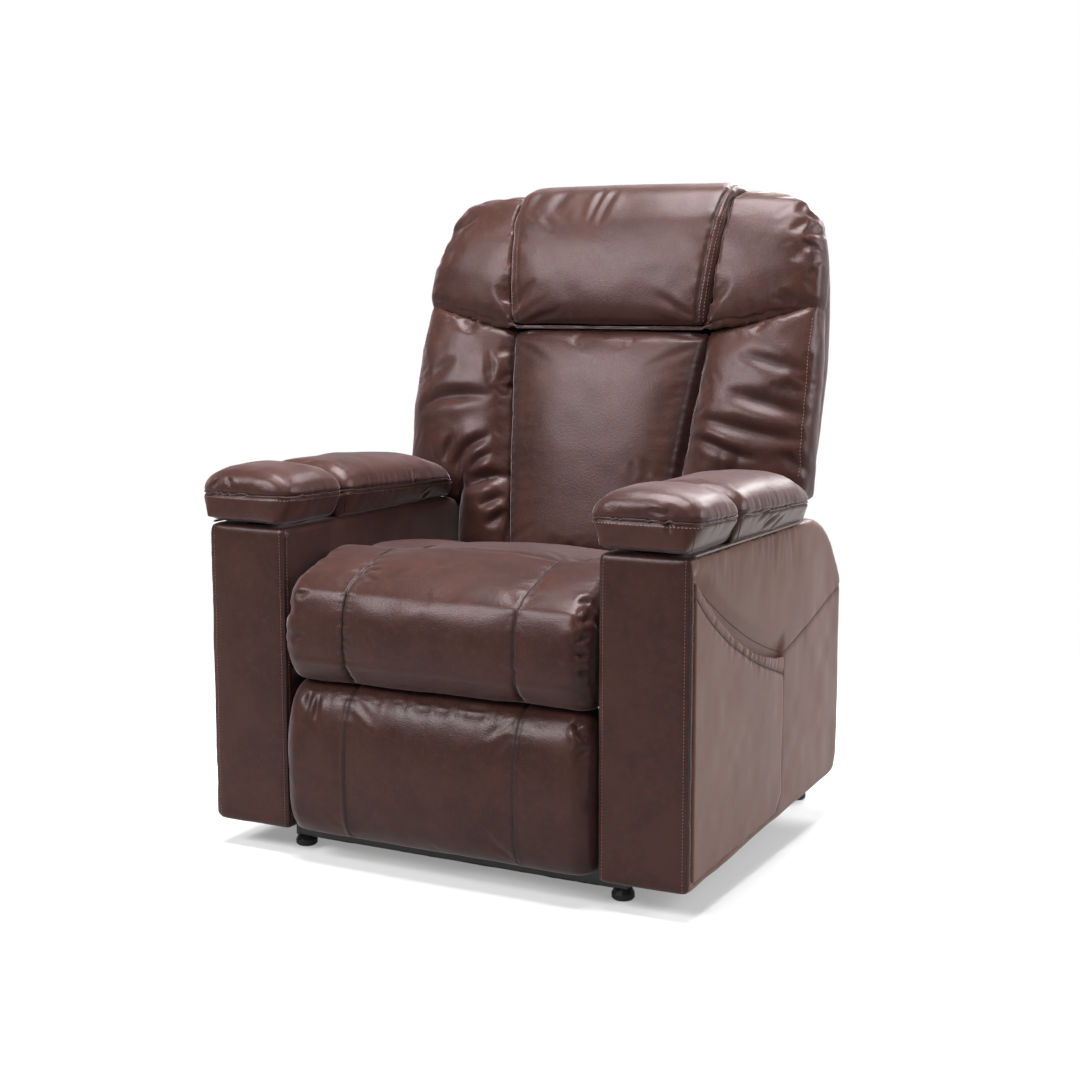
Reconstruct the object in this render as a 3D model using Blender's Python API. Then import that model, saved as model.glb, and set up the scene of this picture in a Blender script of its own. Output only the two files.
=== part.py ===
"""Upholstered lift and recline armchair for assisted sitting and standing.

The chair sits on a low steel base. Two pairs of arms on the base raise and tip the whole seat,
a folding linkage swings the footrest out from under the front of the seat, and the back reclines
on a pivot at each side. Three linear drives push the three motions. The front half of each arm
pad is a hinged lid over a cup holder, and each arm carries a side pocket.

Metres. +Z is up and the chair faces -Y. A side view point is written (y, z), with y counted
backwards from the front faces of the arms and z up from the floor.
"""
import math

import bmesh
import bpy
from mathutils import Vector

# ------------------------------------------------------------------ overall sizes
FRONT_Y = -0.3886           # front faces of the arms, from the middle of the depth
GAP = 0.0003                # between pieces that touch
ROOT = 0.002                # depth by which a pin or an ear is let into what carries it
SIDES = (("left", 1.0), ("right", -1.0))      # as the sitter sees them

ARM_INNER = 0.280           # half the clear width between the arms
ARM_WIDTH = 0.150
ARM_OUTER = ARM_INNER + ARM_WIDTH
ARM_TOP = 0.544
ARM_BOTTOM_FRONT = 0.042
ARM_BOTTOM_REAR = 0.075
ARM_LENGTH = 0.668
ARM_EDGE = 0.008            # rounding of the arm's edges
ARM_SLOPE_START = 0.520     # where the arm's top starts to curve down to its rear edge
ARM_SLOPE_END = 0.425       # height where that curve meets the rear edge

PAD_OVERHANG = 0.017        # arm pads reach past the arm on both sides
PAD_SEAM_FRONT = 0.594
PAD_SEAM_REAR = 0.578
PAD_CROWN = 0.048           # height of a pad's crown above its seam
PAD_SPLIT = 0.155           # crease between the lid pad and the fixed pad
PAD_REAR_OUTER = 0.470
PAD_REAR_INNER = 0.532
PAD_NOSE = 0.016            # how far the pad's front bows past the arm
LID_BOARD = 0.006
LID_GAP = 0.003             # between the lid and the fixed pad
LID_HINGE_DROP = 0.010      # hinge line below the crown, in the crease

CUP_Y = 0.080
CUP_RADIUS = 0.0420
CUP_WALL = 0.0025
CUP_DEPTH = 0.085
CUP_FLANGE = 0.0100
CUP_FLANGE_T = 0.0025

POCKET_DEPTH = 0.0100       # recess in the arm's outer side
POCKET_SKIN = 0.0035
POCKET_MOUTH = 0.010        # recess above the hem, at its back
POCKET_SCOOP = 0.045        # and at the arm's face, where the side slopes in to the mouth
POCKET_PROUD = 0.0015
POCKET_FRONT = 0.014
POCKET_REAR = 0.382
POCKET_HEM_FRONT = 0.506
POCKET_HEM_REAR = 0.333
POCKET_HEM_SAG = 0.034      # the hem hangs below the straight line between its ends
POCKET_FOOT = 0.016         # rim left below the pocket

# ------------------------------------------------------------------ seat and footrest
SEAT_HALF = 0.270
SEAT_FRONT = -0.034
SEAT_ROLL_BOTTOM = 0.300
SEAT_TOP = 0.500
SEAT_REAR = 0.478
SEAT_REAR_TOP = 0.470
DECK_TOP = 0.3602
DECK_T = 0.0152
DECK_FRONT = 0.040
DECK_REAR = 0.500
DECK_HALF = 0.262
RAIL_H = 0.020
RAIL_D = 0.025
REAR_RAIL_H = 0.0162

FOOT_HALF = 0.272
FOOT_FRONT = -0.030
FOOT_REAR = 0.0597
FOOT_BOTTOM = 0.050
FOOT_TOP = 0.2975
FOOT_BOARD_T = 0.0115

# ------------------------------------------------------------------ steel linkage
PLATE_T = 0.0045            # stamped link thickness
ARM_T = 0.005               # lift arm thickness
PLATE_X = 0.2520            # inner face of the seat side plate
LINK_X = (0.2445, 0.2370, 0.2295, 0.2220, 0.2145)   # planes of the five footrest links
LIFT_X = 0.2590
CONTROL_X = 0.2665
BRACKET_X = 0.2740
PIN_R = 0.0050
PIN_RUN = 0.0004            # running clearance round a pin
HEAD_R = 0.0090
HEAD_T = 0.0020
LINK_R = 0.0115
FREE_PIVOT_CONTROL = 0.0015  # play in the control arm's chair pivot
FREE_PIVOT_GUIDE = 0.0011    # play in the guide link's lower pivot

LIFT_PIVOT = (0.2200, 0.0750)
LIFT_SEAT = (0.5600, 0.1050)
LIFT_EYE_R = 0.0150
CONTROL_PIVOT = (0.1700, 0.0885)
CONTROL_SEAT = (0.4457, 0.1301)
CONTROL_EYES_R = (0.0125, 0.0135)
CROSS_BAR_AT = 0.45         # share of the way along the lift arms
CROSS_BAR_R = 0.011
LIGHTENING = ((0.245, 0.250, 0.034), (0.355, 0.232, 0.042), (0.480, 0.220, 0.045))   # side plate holes
ARM_TIE_Y = (0.110, 0.450)  # flange that carries an arm box on its side plate
ARM_TIE_Z = (0.2950, 0.3200)

CRANK_PIVOT = (0.0850, 0.2500)       # swinging link of the footrest, on the seat side plate
CRANK_LENGTH = 0.1438
CRANK_ANGLE = math.radians(275.6)
CRANK_TAIL = 0.0400                  # past the joint with the leg link
LEG_LENGTH = 0.1263
LEG_ANGLE = math.radians(96.3)
GUIDE_PIVOT = (0.1234, 0.3012)
GUIDE_FOOT = (0.0246, 0.0154)        # on the leg link, from its joint with the crank

# ------------------------------------------------------------------ base
TUBE = 0.025                # square tube
BASE_BOTTOM = 0.018
BASE_FRONT_Y = 0.055
BASE_REAR_Y = 0.700
BASE_RAIL_X = 0.262
BASE_FRONT_HALF = 0.307
BASE_REAR_HALF = 0.355
GLIDE_R = 0.018
GLIDE_INSET_FRONT = 0.013   # glide centre, in from the end of its tube
GLIDE_INSET_REAR = 0.017
SKIRT_T = 0.0012

# ------------------------------------------------------------------ drives
LIFT_DRIVE_X = 0.0
LIFT_DRIVE = ((0.1544, 0.0786), (0.3241, 0.2950))
LIFT_DRIVE_SIZES = (0.180, 0.215)    # length of the rod, and of the drive to the end of its tube
FOOT_DRIVE_X = 0.085
FOOT_DRIVE_BACK = (0.2658, 0.2830)
FOOT_DRIVE_SIZES = (0.178, 0.210)
BACK_DRIVE_X = -0.125
BACK_DRIVE = ((0.3597, 0.2998), (0.6549, 0.3199))
BACK_DRIVE_SIZES = (0.158, 0.200)
BORE_PLAY = 0.0008          # round a rod in its tube
BACK_BORE_PLAY = 0.0021     # more where the drive stays level while the back swings
LUG_PLAY = 0.0005           # between a lug and the ears beside it
LUG_HALF = 0.0040
CLEVIS_T = 0.0040
EYE_R = 0.0125
TANG = 0.0260               # flat end of a rod, from its pivot
DRIVE_TUBE_R = 0.0165
DRIVE_ROD_R = 0.0090
HOUSING_HALF = 0.0230
HOUSING_START = 0.0200
HOUSING_END = 0.0700
MOTOR_R = 0.0190
MOTOR_OFFSET = 0.0430
MOTOR_END = 0.1500
FOOT_TUBE_R = 0.0100
FOOT_EYE_R = 0.0150         # eye of the footrest drive, round the cross tube
FOOT_EYE_HALF = 0.0080
BOX_X = (0.055, 0.195)      # control box
BOX_Y = (0.390, 0.462)
BOX_BOTTOM = 0.3050
INLET_X = (0.085, 0.125, 0.165)
INLET_HALF = 0.010
INLET_DEPTH = 0.012
INLET_Z = (0.3140, 0.3260)

# ------------------------------------------------------------------ back
BACK_PIVOT = (0.5500, 0.3600)
BACK_LEAN = math.radians(14.0)
SEAM_A = 0.062              # seam plane in front of the pivot, square to the back
CUSHION_REAR_A = -0.0095
POST_FRONT_A = CUSHION_REAR_A - GAP
POST_D = 0.040
POST_INNER = 0.232
BACK_PLATE_X = 0.2595
POST_BOTTOM = 0.036
POST_TOP = 0.6985
RAIL_LOW = (0.055, 0.100)   # bottom rail, up the posts
RAIL_HIGH = 0.050           # height of the top rail
CROWN = 0.024
SEAM_GAP = 0.0008           # between the lumbar and shoulder cushions
LUMBAR_BOTTOM = 0.072
LUMBAR_TOP = 0.4870
LUMBAR_HALF_BOTTOM = 0.1500
LUMBAR_HALF_TOP = 0.1910
WING_HALF = 0.3965
WING_TAPER = 0.007          # drawn in at the shoulder
WING_START = 0.212          # height along the back where the wings begin
SHOULDER_RISE = 0.264       # slope of the shoulder seam, outwards
BACK_TOP = 0.7600
OUTBACK_T = 0.032           # padded rear panel, behind the posts
OUTBACK_BOTTOM = 0.115
OUTBACK_HALF = 0.378        # behind the wings
OUTBACK_WALL = 0.006
HEAD_BOTTOM = 0.5000
HEAD_HALF_BOTTOM = 0.1940
HEAD_HALF_TOP = 0.2190
HEAD_FRONT = 0.092
HEAD_SEAT_A = 0.058
HEAD_TOP = 0.7800

# ------------------------------------------------------------------ helpers


def clear_scene():
    """Remove everything that the file opened with."""
    for ob in list(bpy.data.objects):
        bpy.data.objects.remove(ob, do_unlink=True)


def material(name, rgb, roughness=0.5, metallic=0.0):
    """Return a plain surface."""
    mat = bpy.data.materials.new(name)
    mat.use_nodes = True
    bsdf = mat.node_tree.nodes["Principled BSDF"]
    bsdf.inputs["Base Color"].default_value = (*rgb, 1.0)
    bsdf.inputs["Roughness"].default_value = roughness
    bsdf.inputs["Metallic"].default_value = metallic
    mat.diffuse_color = (*rgb, 1.0)
    return mat


def at(x, point):
    """World position of a side view point at width x."""
    return Vector((x, FRONT_Y + point[0], point[1]))


def back_side(a, v):
    """Side view point on the back: a squares off its front, v climbs it from the pivot."""
    c, s = math.cos(BACK_LEAN), math.sin(BACK_LEAN)
    return (BACK_PIVOT[0] - a * c + v * s, BACK_PIVOT[1] + a * s + v * c)


def back_point(x, a, v):
    """World position on the back at width x."""
    return at(x, back_side(a, v))


def publish(name, bm, mat, origin=None, edge=0.0, segments=2):
    """Turn a mesh in world position into a named piece whose origin lies at the given point."""
    bmesh.ops.remove_doubles(bm, verts=bm.verts, dist=1e-6)
    bmesh.ops.recalc_face_normals(bm, faces=bm.faces)
    origin = Vector(origin) if origin is not None else Vector((0.0, 0.0, 0.0))
    bmesh.ops.translate(bm, vec=-origin, verts=bm.verts)
    mesh = bpy.data.meshes.new(name)
    bm.to_mesh(mesh)
    bm.free()
    ob = bpy.data.objects.new(name, mesh)
    ob.location = origin
    bpy.context.scene.collection.objects.link(ob)
    if mat is not None:
        mesh.materials.append(mat)
    if edge:
        mod = ob.modifiers.new("edge", "BEVEL")
        mod.width = edge
        mod.segments = segments
        mod.limit_method = "ANGLE"
        mod.angle_limit = math.radians(40)
    return ob


def combine(ob, shapes, operation):
    """Join tool meshes to a piece, or cut them from it."""
    for shape in shapes:
        tool = publish(ob.name + "_tool", shape, None)
        tool.hide_render = True
        tool.display_type = "WIRE"
        mod = ob.modifiers.new(operation.lower(), "BOOLEAN")
        mod.operation = operation
        mod.solver = "EXACT"
        mod.object = tool
    return ob


def join(ob, *shapes):
    """Fuse shapes onto a piece."""
    return combine(ob, shapes, "UNION")


def cut(ob, *shapes):
    """Take shapes out of a piece."""
    return combine(ob, shapes, "DIFFERENCE")


def skin(rings):
    """Closed solid through a row of closed rings with the same number of points."""
    bm = bmesh.new()
    rows = [[bm.verts.new(p) for p in ring] for ring in rings]
    count = len(rows[0])
    for first, second in zip(rows, rows[1:]):
        for i in range(count):
            j = (i + 1) % count
            bm.faces.new((first[i], first[j], second[j], second[i]))
    bm.faces.new(rows[0][::-1])
    bm.faces.new(rows[-1])
    return bm


def prism(outline, x0, x1):
    """Side view outline drawn out across the width."""
    return skin([[at(x, p) for p in outline] for x in (x0, x1)])


def block(x0, x1, y0, y1, z0, z1):
    """Rectangular block in side view positions."""
    return prism([(y0, z0), (y1, z0), (y1, z1), (y0, z1)], x0, x1)


def circle(centre, radius, count=16, turn=0.0):
    """Points round a side view circle."""
    return [(centre[0] + radius * math.cos(turn + math.tau * i / count),
             centre[1] + radius * math.sin(turn + math.tau * i / count)) for i in range(count)]


def bar(centre, radius, x0, x1, count=16):
    """Round bar across the width."""
    return prism(circle(centre, radius, count), x0, x1)


def around(*discs, count=16):
    """Tight outline round a set of side view discs, each (y, z, radius)."""
    points = sorted({p for y, z, r in discs for p in circle((y, z), r, count, math.pi / count)})

    def half(run):
        chain = []
        for p in run:
            while len(chain) > 1:
                (ay, az), (by, bz) = chain[-2], chain[-1]
                if (by - ay) * (p[1] - az) - (bz - az) * (p[0] - ay) > 1e-12:
                    break
                chain.pop()
            chain.append(p)
        return chain[:-1]

    return half(points) + half(points[::-1])


def turned(profile, centre_x, point_y, count=24):
    """Body of revolution about an upright axis. The profile runs (radius, z) from bottom to top."""
    rings = []
    for radius, z in profile:
        rings.append([Vector((centre_x + radius * math.cos(math.tau * i / count),
                              FRONT_Y + point_y + radius * math.sin(math.tau * i / count), z))
                      for i in range(count)])
    return skin(rings)


def rivet(centre, x0, x1, side):
    """Pin from inside a plate at x0 to a head past x1. Both x are for the left side."""
    way = 1.0 if x1 > x0 else -1.0
    bm = skin([[at(side * x, p) for p in circle(centre, r, 12)]
               for x, r in ((x0 - way * ROOT, PIN_R), (x1 + way * GAP, PIN_R),
                            (x1 + way * GAP, HEAD_R), (x1 + way * (GAP + HEAD_T), HEAD_R))])
    return bm


def side_hole(centre, side, radius=PIN_R + PIN_RUN):
    """Cutter for a pin hole on one side of the chair only."""
    return bar(centre, radius, side * 0.15, side * 0.45, 12)


def plus(a, b):
    """Sum of two side view points."""
    return (a[0] + b[0], a[1] + b[1])


def polar(length, angle):
    """Side view vector."""
    return (length * math.cos(angle), length * math.sin(angle))


def turn(point, angle):
    """Side view vector turned about the chair's width."""
    c, s = math.cos(angle), math.sin(angle)
    return (point[0] * c - point[1] * s, point[0] * s + point[1] * c)


def smooth(t):
    """Ease from 0 to 1."""
    t = min(1.0, max(0.0, t))
    return t * t * (3.0 - 2.0 * t)


def mix(a, b, t):
    """Value between a and b."""
    return a + (b - a) * t


def dome(lo, hi, foot_lo, foot_hi, base, seam, top, count=9, power=2.6):
    """Section of a stuffed pad: flat base, upright border to the seam, crowned top."""
    mid, half = (lo + hi) / 2, (hi - lo) / 2
    points = [(foot_hi, base), (hi, seam)]
    for i in range(1, count):
        t = math.pi * i / count
        c, s = math.cos(t), math.sin(t)
        points.append((mid + half * math.copysign(abs(c) ** (2 / power), c),
                       seam + (top - seam) * s ** (2 / power)))
    return points + [(lo, seam), (foot_lo, base)]


def curve_through(points, steps):
    """Open smooth curve through side view points, steps per span."""
    run = [points[0]] + list(points) + [points[-1]]
    out = []
    for i in range(1, len(run) - 2):
        p0, p1, p2, p3 = run[i - 1:i + 3]
        for j in range(steps):
            t = j / steps
            out.append(tuple(0.5 * (2 * b + (c - a) * t + (2 * a - 5 * b + 4 * c - d) * t * t
                                    + (3 * b - a - 3 * c + d) * t ** 3)
                             for a, b, c, d in zip(p0, p1, p2, p3)))
    return out + [points[-1]]


# ------------------------------------------------------------------ pieces


def build_base(steel, black, fabric):
    """Floor frame, its glides and the brackets that carry the lift arms."""
    top = BASE_BOTTOM + TUBE
    front, rear = BASE_FRONT_Y + TUBE, BASE_REAR_Y
    publish("base_front_tube", block(-BASE_FRONT_HALF, BASE_FRONT_HALF, BASE_FRONT_Y, front,
                                     BASE_BOTTOM, top), steel, edge=0.002)
    publish("base_rear_tube", block(-BASE_REAR_HALF, BASE_REAR_HALF, rear, rear + TUBE,
                                    BASE_BOTTOM, top), steel, edge=0.002)
    drive_y, drive_z = LIFT_DRIVE[0]
    inner = BASE_RAIL_X - GAP
    cross = publish("base_drive_tube", block(-inner, inner, drive_y - TUBE / 2,
                                             drive_y + TUBE / 2, BASE_BOTTOM, top), steel, edge=0.002)
    ears = around((drive_y, drive_z, EYE_R), (drive_y - 0.010, top, 0.002), (drive_y + 0.010, top, 0.002))
    for way in (-1.0, 1.0):
        x = LIFT_DRIVE_X + way * (LUG_HALF + 0.0005)
        join(cross, prism(ears, x, x + way * CLEVIS_T))
    join(cross, bar((drive_y, drive_z), PIN_R, LIFT_DRIVE_X - LUG_HALF - CLEVIS_T,
                    LIFT_DRIVE_X + LUG_HALF + CLEVIS_T, 12))
    skirt = publish("front_skirt", block(-inner, inner, BASE_FRONT_Y - SKIRT_T - GAP,
                                         front + SKIRT_T + GAP, BASE_BOTTOM - SKIRT_T - GAP,
                                         top + SKIRT_T + GAP), fabric)
    cut(skirt, block(-0.5, 0.5, BASE_FRONT_Y - GAP, front + GAP, BASE_BOTTOM - GAP, top + GAP))
    for name, side in SIDES:
        rail = publish("base_rail_" + name, block(side * BASE_RAIL_X, side * (BASE_RAIL_X + TUBE),
                                                  front + GAP, rear - GAP, BASE_BOTTOM, top),
                       steel, edge=0.002)
        ear = around((*LIFT_PIVOT, 0.016), (*CONTROL_PIVOT, 0.015),
                     (CONTROL_PIVOT[0] - 0.030, top - 0.003, 0.002),
                     (LIFT_PIVOT[0] + 0.040, top - 0.003, 0.002))
        join(rail, prism(ear, side * BRACKET_X, side * (BRACKET_X + ARM_T)),
             rivet(LIFT_PIVOT, BRACKET_X, LIFT_X, side),
             rivet(CONTROL_PIVOT, BRACKET_X, CONTROL_X, side))
        for end, x, y in (("front", BASE_FRONT_HALF - GLIDE_INSET_FRONT, BASE_FRONT_Y),
                          ("rear", BASE_REAR_HALF - GLIDE_INSET_REAR, BASE_REAR_Y)):
            glide = [(GLIDE_R - 0.003, 0.0), (GLIDE_R, 0.003), (GLIDE_R, 0.010),
                     (GLIDE_R - 0.004, BASE_BOTTOM - GAP)]
            publish("glide_%s_%s" % (end, name), turned(glide, side * x, y + TUBE / 2, 20), black)


def build_lift(steel):
    """The two pairs of arms that raise and tip the seat, tied by a cross bar."""
    tie = tuple(mix(a, b, CROSS_BAR_AT) for a, b in zip(LIFT_PIVOT, LIFT_SEAT))
    for name, side in SIDES:
        arm = publish("lift_arm_" + name,
                      prism(around((*LIFT_PIVOT, LIFT_EYE_R), (*LIFT_SEAT, LIFT_EYE_R)),
                            side * LIFT_X, side * (LIFT_X + ARM_T)), steel, origin=at(0.0, LIFT_PIVOT))
        cut(arm, side_hole(LIFT_PIVOT, side), side_hole(LIFT_SEAT, side))
        link = publish("control_arm_" + name,
                       prism(around((*CONTROL_PIVOT, CONTROL_EYES_R[0]),
                                    (*CONTROL_SEAT, CONTROL_EYES_R[1])),
                             side * CONTROL_X, side * (CONTROL_X + ARM_T)), steel,
                       origin=at(0.0, CONTROL_PIVOT))
        cut(link, side_hole(CONTROL_PIVOT, side),
            side_hole(CONTROL_SEAT, side, PIN_R + FREE_PIVOT_CONTROL))
    publish("lift_cross_bar", bar(tie, CROSS_BAR_R, -LIFT_X + GAP, LIFT_X - GAP), steel,
            origin=at(0.0, LIFT_PIVOT))


def build_drive(prefix, x, ends, sizes, motor_way, play, eye, mats):
    """Linear drive from its tail pivot to its rod end pivot, with the eye (radius, half width, pin)."""
    (tail, head), (rod_length, tube_end) = ends, sizes
    eye_r, eye_half, pin = eye
    plastic, chrome = mats
    length = math.dist(tail, head)
    angle = math.atan2(head[1] - tail[1], head[0] - tail[0])

    def along(s, w):
        return plus(tail, turn((s, w), angle))

    def stick(s0, s1, radius, count=16, dx=0.0):
        rings = []
        for s in (s0, s1):
            rings.append([at(x + dx + radius * math.cos(math.tau * i / count),
                             along(s, radius * math.sin(math.tau * i / count))) for i in range(count)])
        return skin(rings)

    far = x + motor_way * (MOTOR_OFFSET + MOTOR_R)
    near = x - motor_way * HOUSING_HALF
    shell = [along(s, w) for s, w in ((HOUSING_START, -HOUSING_HALF), (HOUSING_END, -HOUSING_HALF),
                                      (HOUSING_END, HOUSING_HALF), (HOUSING_START, HOUSING_HALF))]
    housing = publish(prefix + "_drive_body", prism(shell, min(near, far), max(near, far)),
                      plastic, origin=at(x, tail), edge=0.005)
    lug = around((*tail, EYE_R), (*along(HOUSING_START + 0.002, 0.0), EYE_R))
    join(housing, prism(lug, x - LUG_HALF, x + LUG_HALF),
         stick(HOUSING_END - 0.002, MOTOR_END, MOTOR_R, 20, motor_way * MOTOR_OFFSET),
         stick(HOUSING_END - 0.002, tube_end, DRIVE_TUBE_R, 20))
    cut(housing, bar(tail, PIN_R + PIN_RUN, x - 0.02, x + 0.02, 12),
        stick(HOUSING_END, tube_end + 0.01, DRIVE_ROD_R + play, 16))
    rod = publish(prefix + "_drive_rod", stick(length - rod_length, length - TANG, DRIVE_ROD_R),
                  chrome, origin=at(x, head))
    tang = around((*head, eye_r), (*along(length - TANG, 0.0), 0.007))
    join(rod, prism(tang, x - LUG_HALF, x + LUG_HALF), bar(head, eye_r, x - eye_half, x + eye_half))
    cut(rod, bar(head, pin + PIN_RUN, x - 0.03, x + 0.03, 16))


def hanger(rail, x, pivot, root_y, top):
    """Pair of ears with a pin, hung below a cross rail from a root at root_y."""
    outline = around((*pivot, EYE_R), (root_y - 0.010, top + 0.003, 0.002),
                     (root_y + 0.010, top + 0.003, 0.002))
    for way in (-1.0, 1.0):
        inner = x + way * (LUG_HALF + LUG_PLAY)
        join(rail, prism(outline, inner, inner + way * CLEVIS_T))
    join(rail, bar(pivot, PIN_R, x - LUG_HALF - CLEVIS_T, x + LUG_HALF + CLEVIS_T, 12))


def build_seat(steel, wood, leather, plastic):
    """Side plates, cross rails, deck and cushion of the seat."""
    deck_bottom = DECK_TOP - DECK_T
    rail_top = deck_bottom - GAP
    low = rail_top - RAIL_H
    for name, side in SIDES:
        lap = 0.010
        outline = around((*CRANK_PIVOT, LINK_R), (CRANK_PIVOT[0], rail_top - LINK_R, LINK_R),
                         (DECK_REAR + 0.080, rail_top - lap, lap), (*LIFT_SEAT, 0.018),
                         (*CONTROL_SEAT, 0.018))
        plate = publish("seat_plate_" + name,
                        prism(outline, side * PLATE_X, side * (PLATE_X + PLATE_T)), steel)
        join(plate, prism(around((*BACK_PIVOT, 0.018), (BACK_PIVOT[0], rail_top - 0.04, 0.026)),
                          side * PLATE_X, side * (PLATE_X + PLATE_T)),
             prism(around((0.050, rail_top - lap, lap), (0.20, rail_top - lap, lap)),
                   side * PLATE_X, side * (PLATE_X + PLATE_T)))
        outer = PLATE_X + PLATE_T
        cut(plate, *(bar((y, z), radius, side * (PLATE_X - 0.05), side * (outer + 0.05), 16)
                     for y, z, radius in LIGHTENING))
        join(plate, rivet(CRANK_PIVOT, PLATE_X, LINK_X[0], side),
             rivet(GUIDE_PIVOT, PLATE_X, LINK_X[2], side),
             rivet(LIFT_SEAT, outer, LIFT_X + ARM_T, side),
             rivet(CONTROL_SEAT, outer, CONTROL_X + ARM_T, side),
             rivet(BACK_PIVOT, outer, BACK_PLATE_X + ARM_T, side))
        join(plate, block(side * (outer - ROOT), side * (ARM_INNER - GAP), *ARM_TIE_Y, *ARM_TIE_Z))
    span = PLATE_X - GAP
    lift_y, back_y = LIFT_DRIVE[1][0], BACK_DRIVE[0][0]
    rail = publish("seat_drive_rail", block(-span, span, lift_y - RAIL_D / 2, back_y + RAIL_D / 2,
                                            low, rail_top), steel, edge=0.002)
    hanger(rail, LIFT_DRIVE_X, LIFT_DRIVE[1], lift_y, low)
    hanger(rail, BACK_DRIVE_X, BACK_DRIVE[0], back_y, low)
    hanger(rail, FOOT_DRIVE_X, FOOT_DRIVE_BACK, lift_y, low)
    deck = publish("seat_deck", block(-DECK_HALF, DECK_HALF, DECK_FRONT, DECK_REAR, deck_bottom,
                                      DECK_TOP), wood)
    join(deck, block(-span, span, DECK_FRONT + 0.002, DECK_FRONT + 0.002 + RAIL_D, low, DECK_TOP - 0.004),
         block(-span, span, DECK_REAR - 0.002 - RAIL_D, DECK_REAR - 0.002, rail_top - REAR_RAIL_H,
               DECK_TOP - 0.004))
    bottom = DECK_TOP + GAP
    roll = (SEAT_TOP + SEAT_ROLL_BOTTOM) / 2
    crown = curve_through([(0.006, SEAT_ROLL_BOTTOM + 0.004), (SEAT_FRONT + 0.008, roll - 0.060),
                          (SEAT_FRONT, roll - 0.010), (SEAT_FRONT + 0.016, roll + 0.055),
                          (0.030, SEAT_TOP - 0.018), (0.080, SEAT_TOP), (0.125, SEAT_TOP + 0.010),
                          (0.158, SEAT_TOP - 0.004), (0.220, SEAT_TOP),
                          (0.360, SEAT_TOP - 0.014), (SEAT_REAR - 0.020, SEAT_REAR_TOP),
                          (SEAT_REAR, SEAT_REAR_TOP - 0.030)], 2)
    section = crown + [(SEAT_REAR, bottom + 0.012), (SEAT_REAR - 0.010, bottom), (0.20, bottom),
                       (DECK_FRONT - GAP, bottom), (DECK_FRONT - GAP, SEAT_ROLL_BOTTOM + 0.012),
                       (DECK_FRONT - 0.012, SEAT_ROLL_BOTTOM + 0.001)]
    cushion = skin([[at(x, (y, z)) for y, z in ring] for x, ring in seat_rows(section, bottom)])
    publish("seat_cushion", cushion, leather)
    box = publish("control_box", block(*BOX_X, *BOX_Y, BOX_BOTTOM, rail_top), plastic, edge=0.004)
    for x in INLET_X:
        cut(box, block(x - INLET_HALF, x + INLET_HALF, BOX_Y[1] - INLET_DEPTH, BOX_Y[1] + 0.01, *INLET_Z))


def seat_rows(section, bottom):
    """Rings of the seat cushion across its width, its two ends rounded over."""
    rows = []
    for x, drop in ((SEAT_HALF, 0.020), (SEAT_HALF - 0.006, 0.008), (SEAT_HALF - 0.020, 0.0)):
        ring = []
        for y, z in section:
            lift = smooth((z - bottom) / 0.06)
            front = smooth((0.030 - y) / 0.05)
            ring.append((y + drop * front, z - drop * lift))
        rows.append((x, ring))
    return rows + [(-x, ring) for x, ring in rows[::-1]]


def pad_ring(side, y, section, skew):
    """Ring of an arm pad at a distance from the front."""
    ring = []
    for x, z in section:
        lean = skew * (ARM_OUTER + PAD_OVERHANG - x) / (ARM_WIDTH + 2 * PAD_OVERHANG)
        ring.append(Vector((side * x, FRONT_Y + y + lean, z)))
    return ring


def pad_section(y, base, inset, drop):
    """Section of an arm pad, drawn in and lowered towards its ends."""
    seam = mix(PAD_SEAM_FRONT, PAD_SEAM_REAR, y / PAD_REAR_INNER)
    lo, hi = ARM_INNER - PAD_OVERHANG + inset, ARM_OUTER + PAD_OVERHANG - inset
    return dome(lo, hi, ARM_INNER + 0.004, ARM_OUTER - 0.004, base, seam - drop * 0.3,
                seam + PAD_CROWN - drop)


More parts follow.
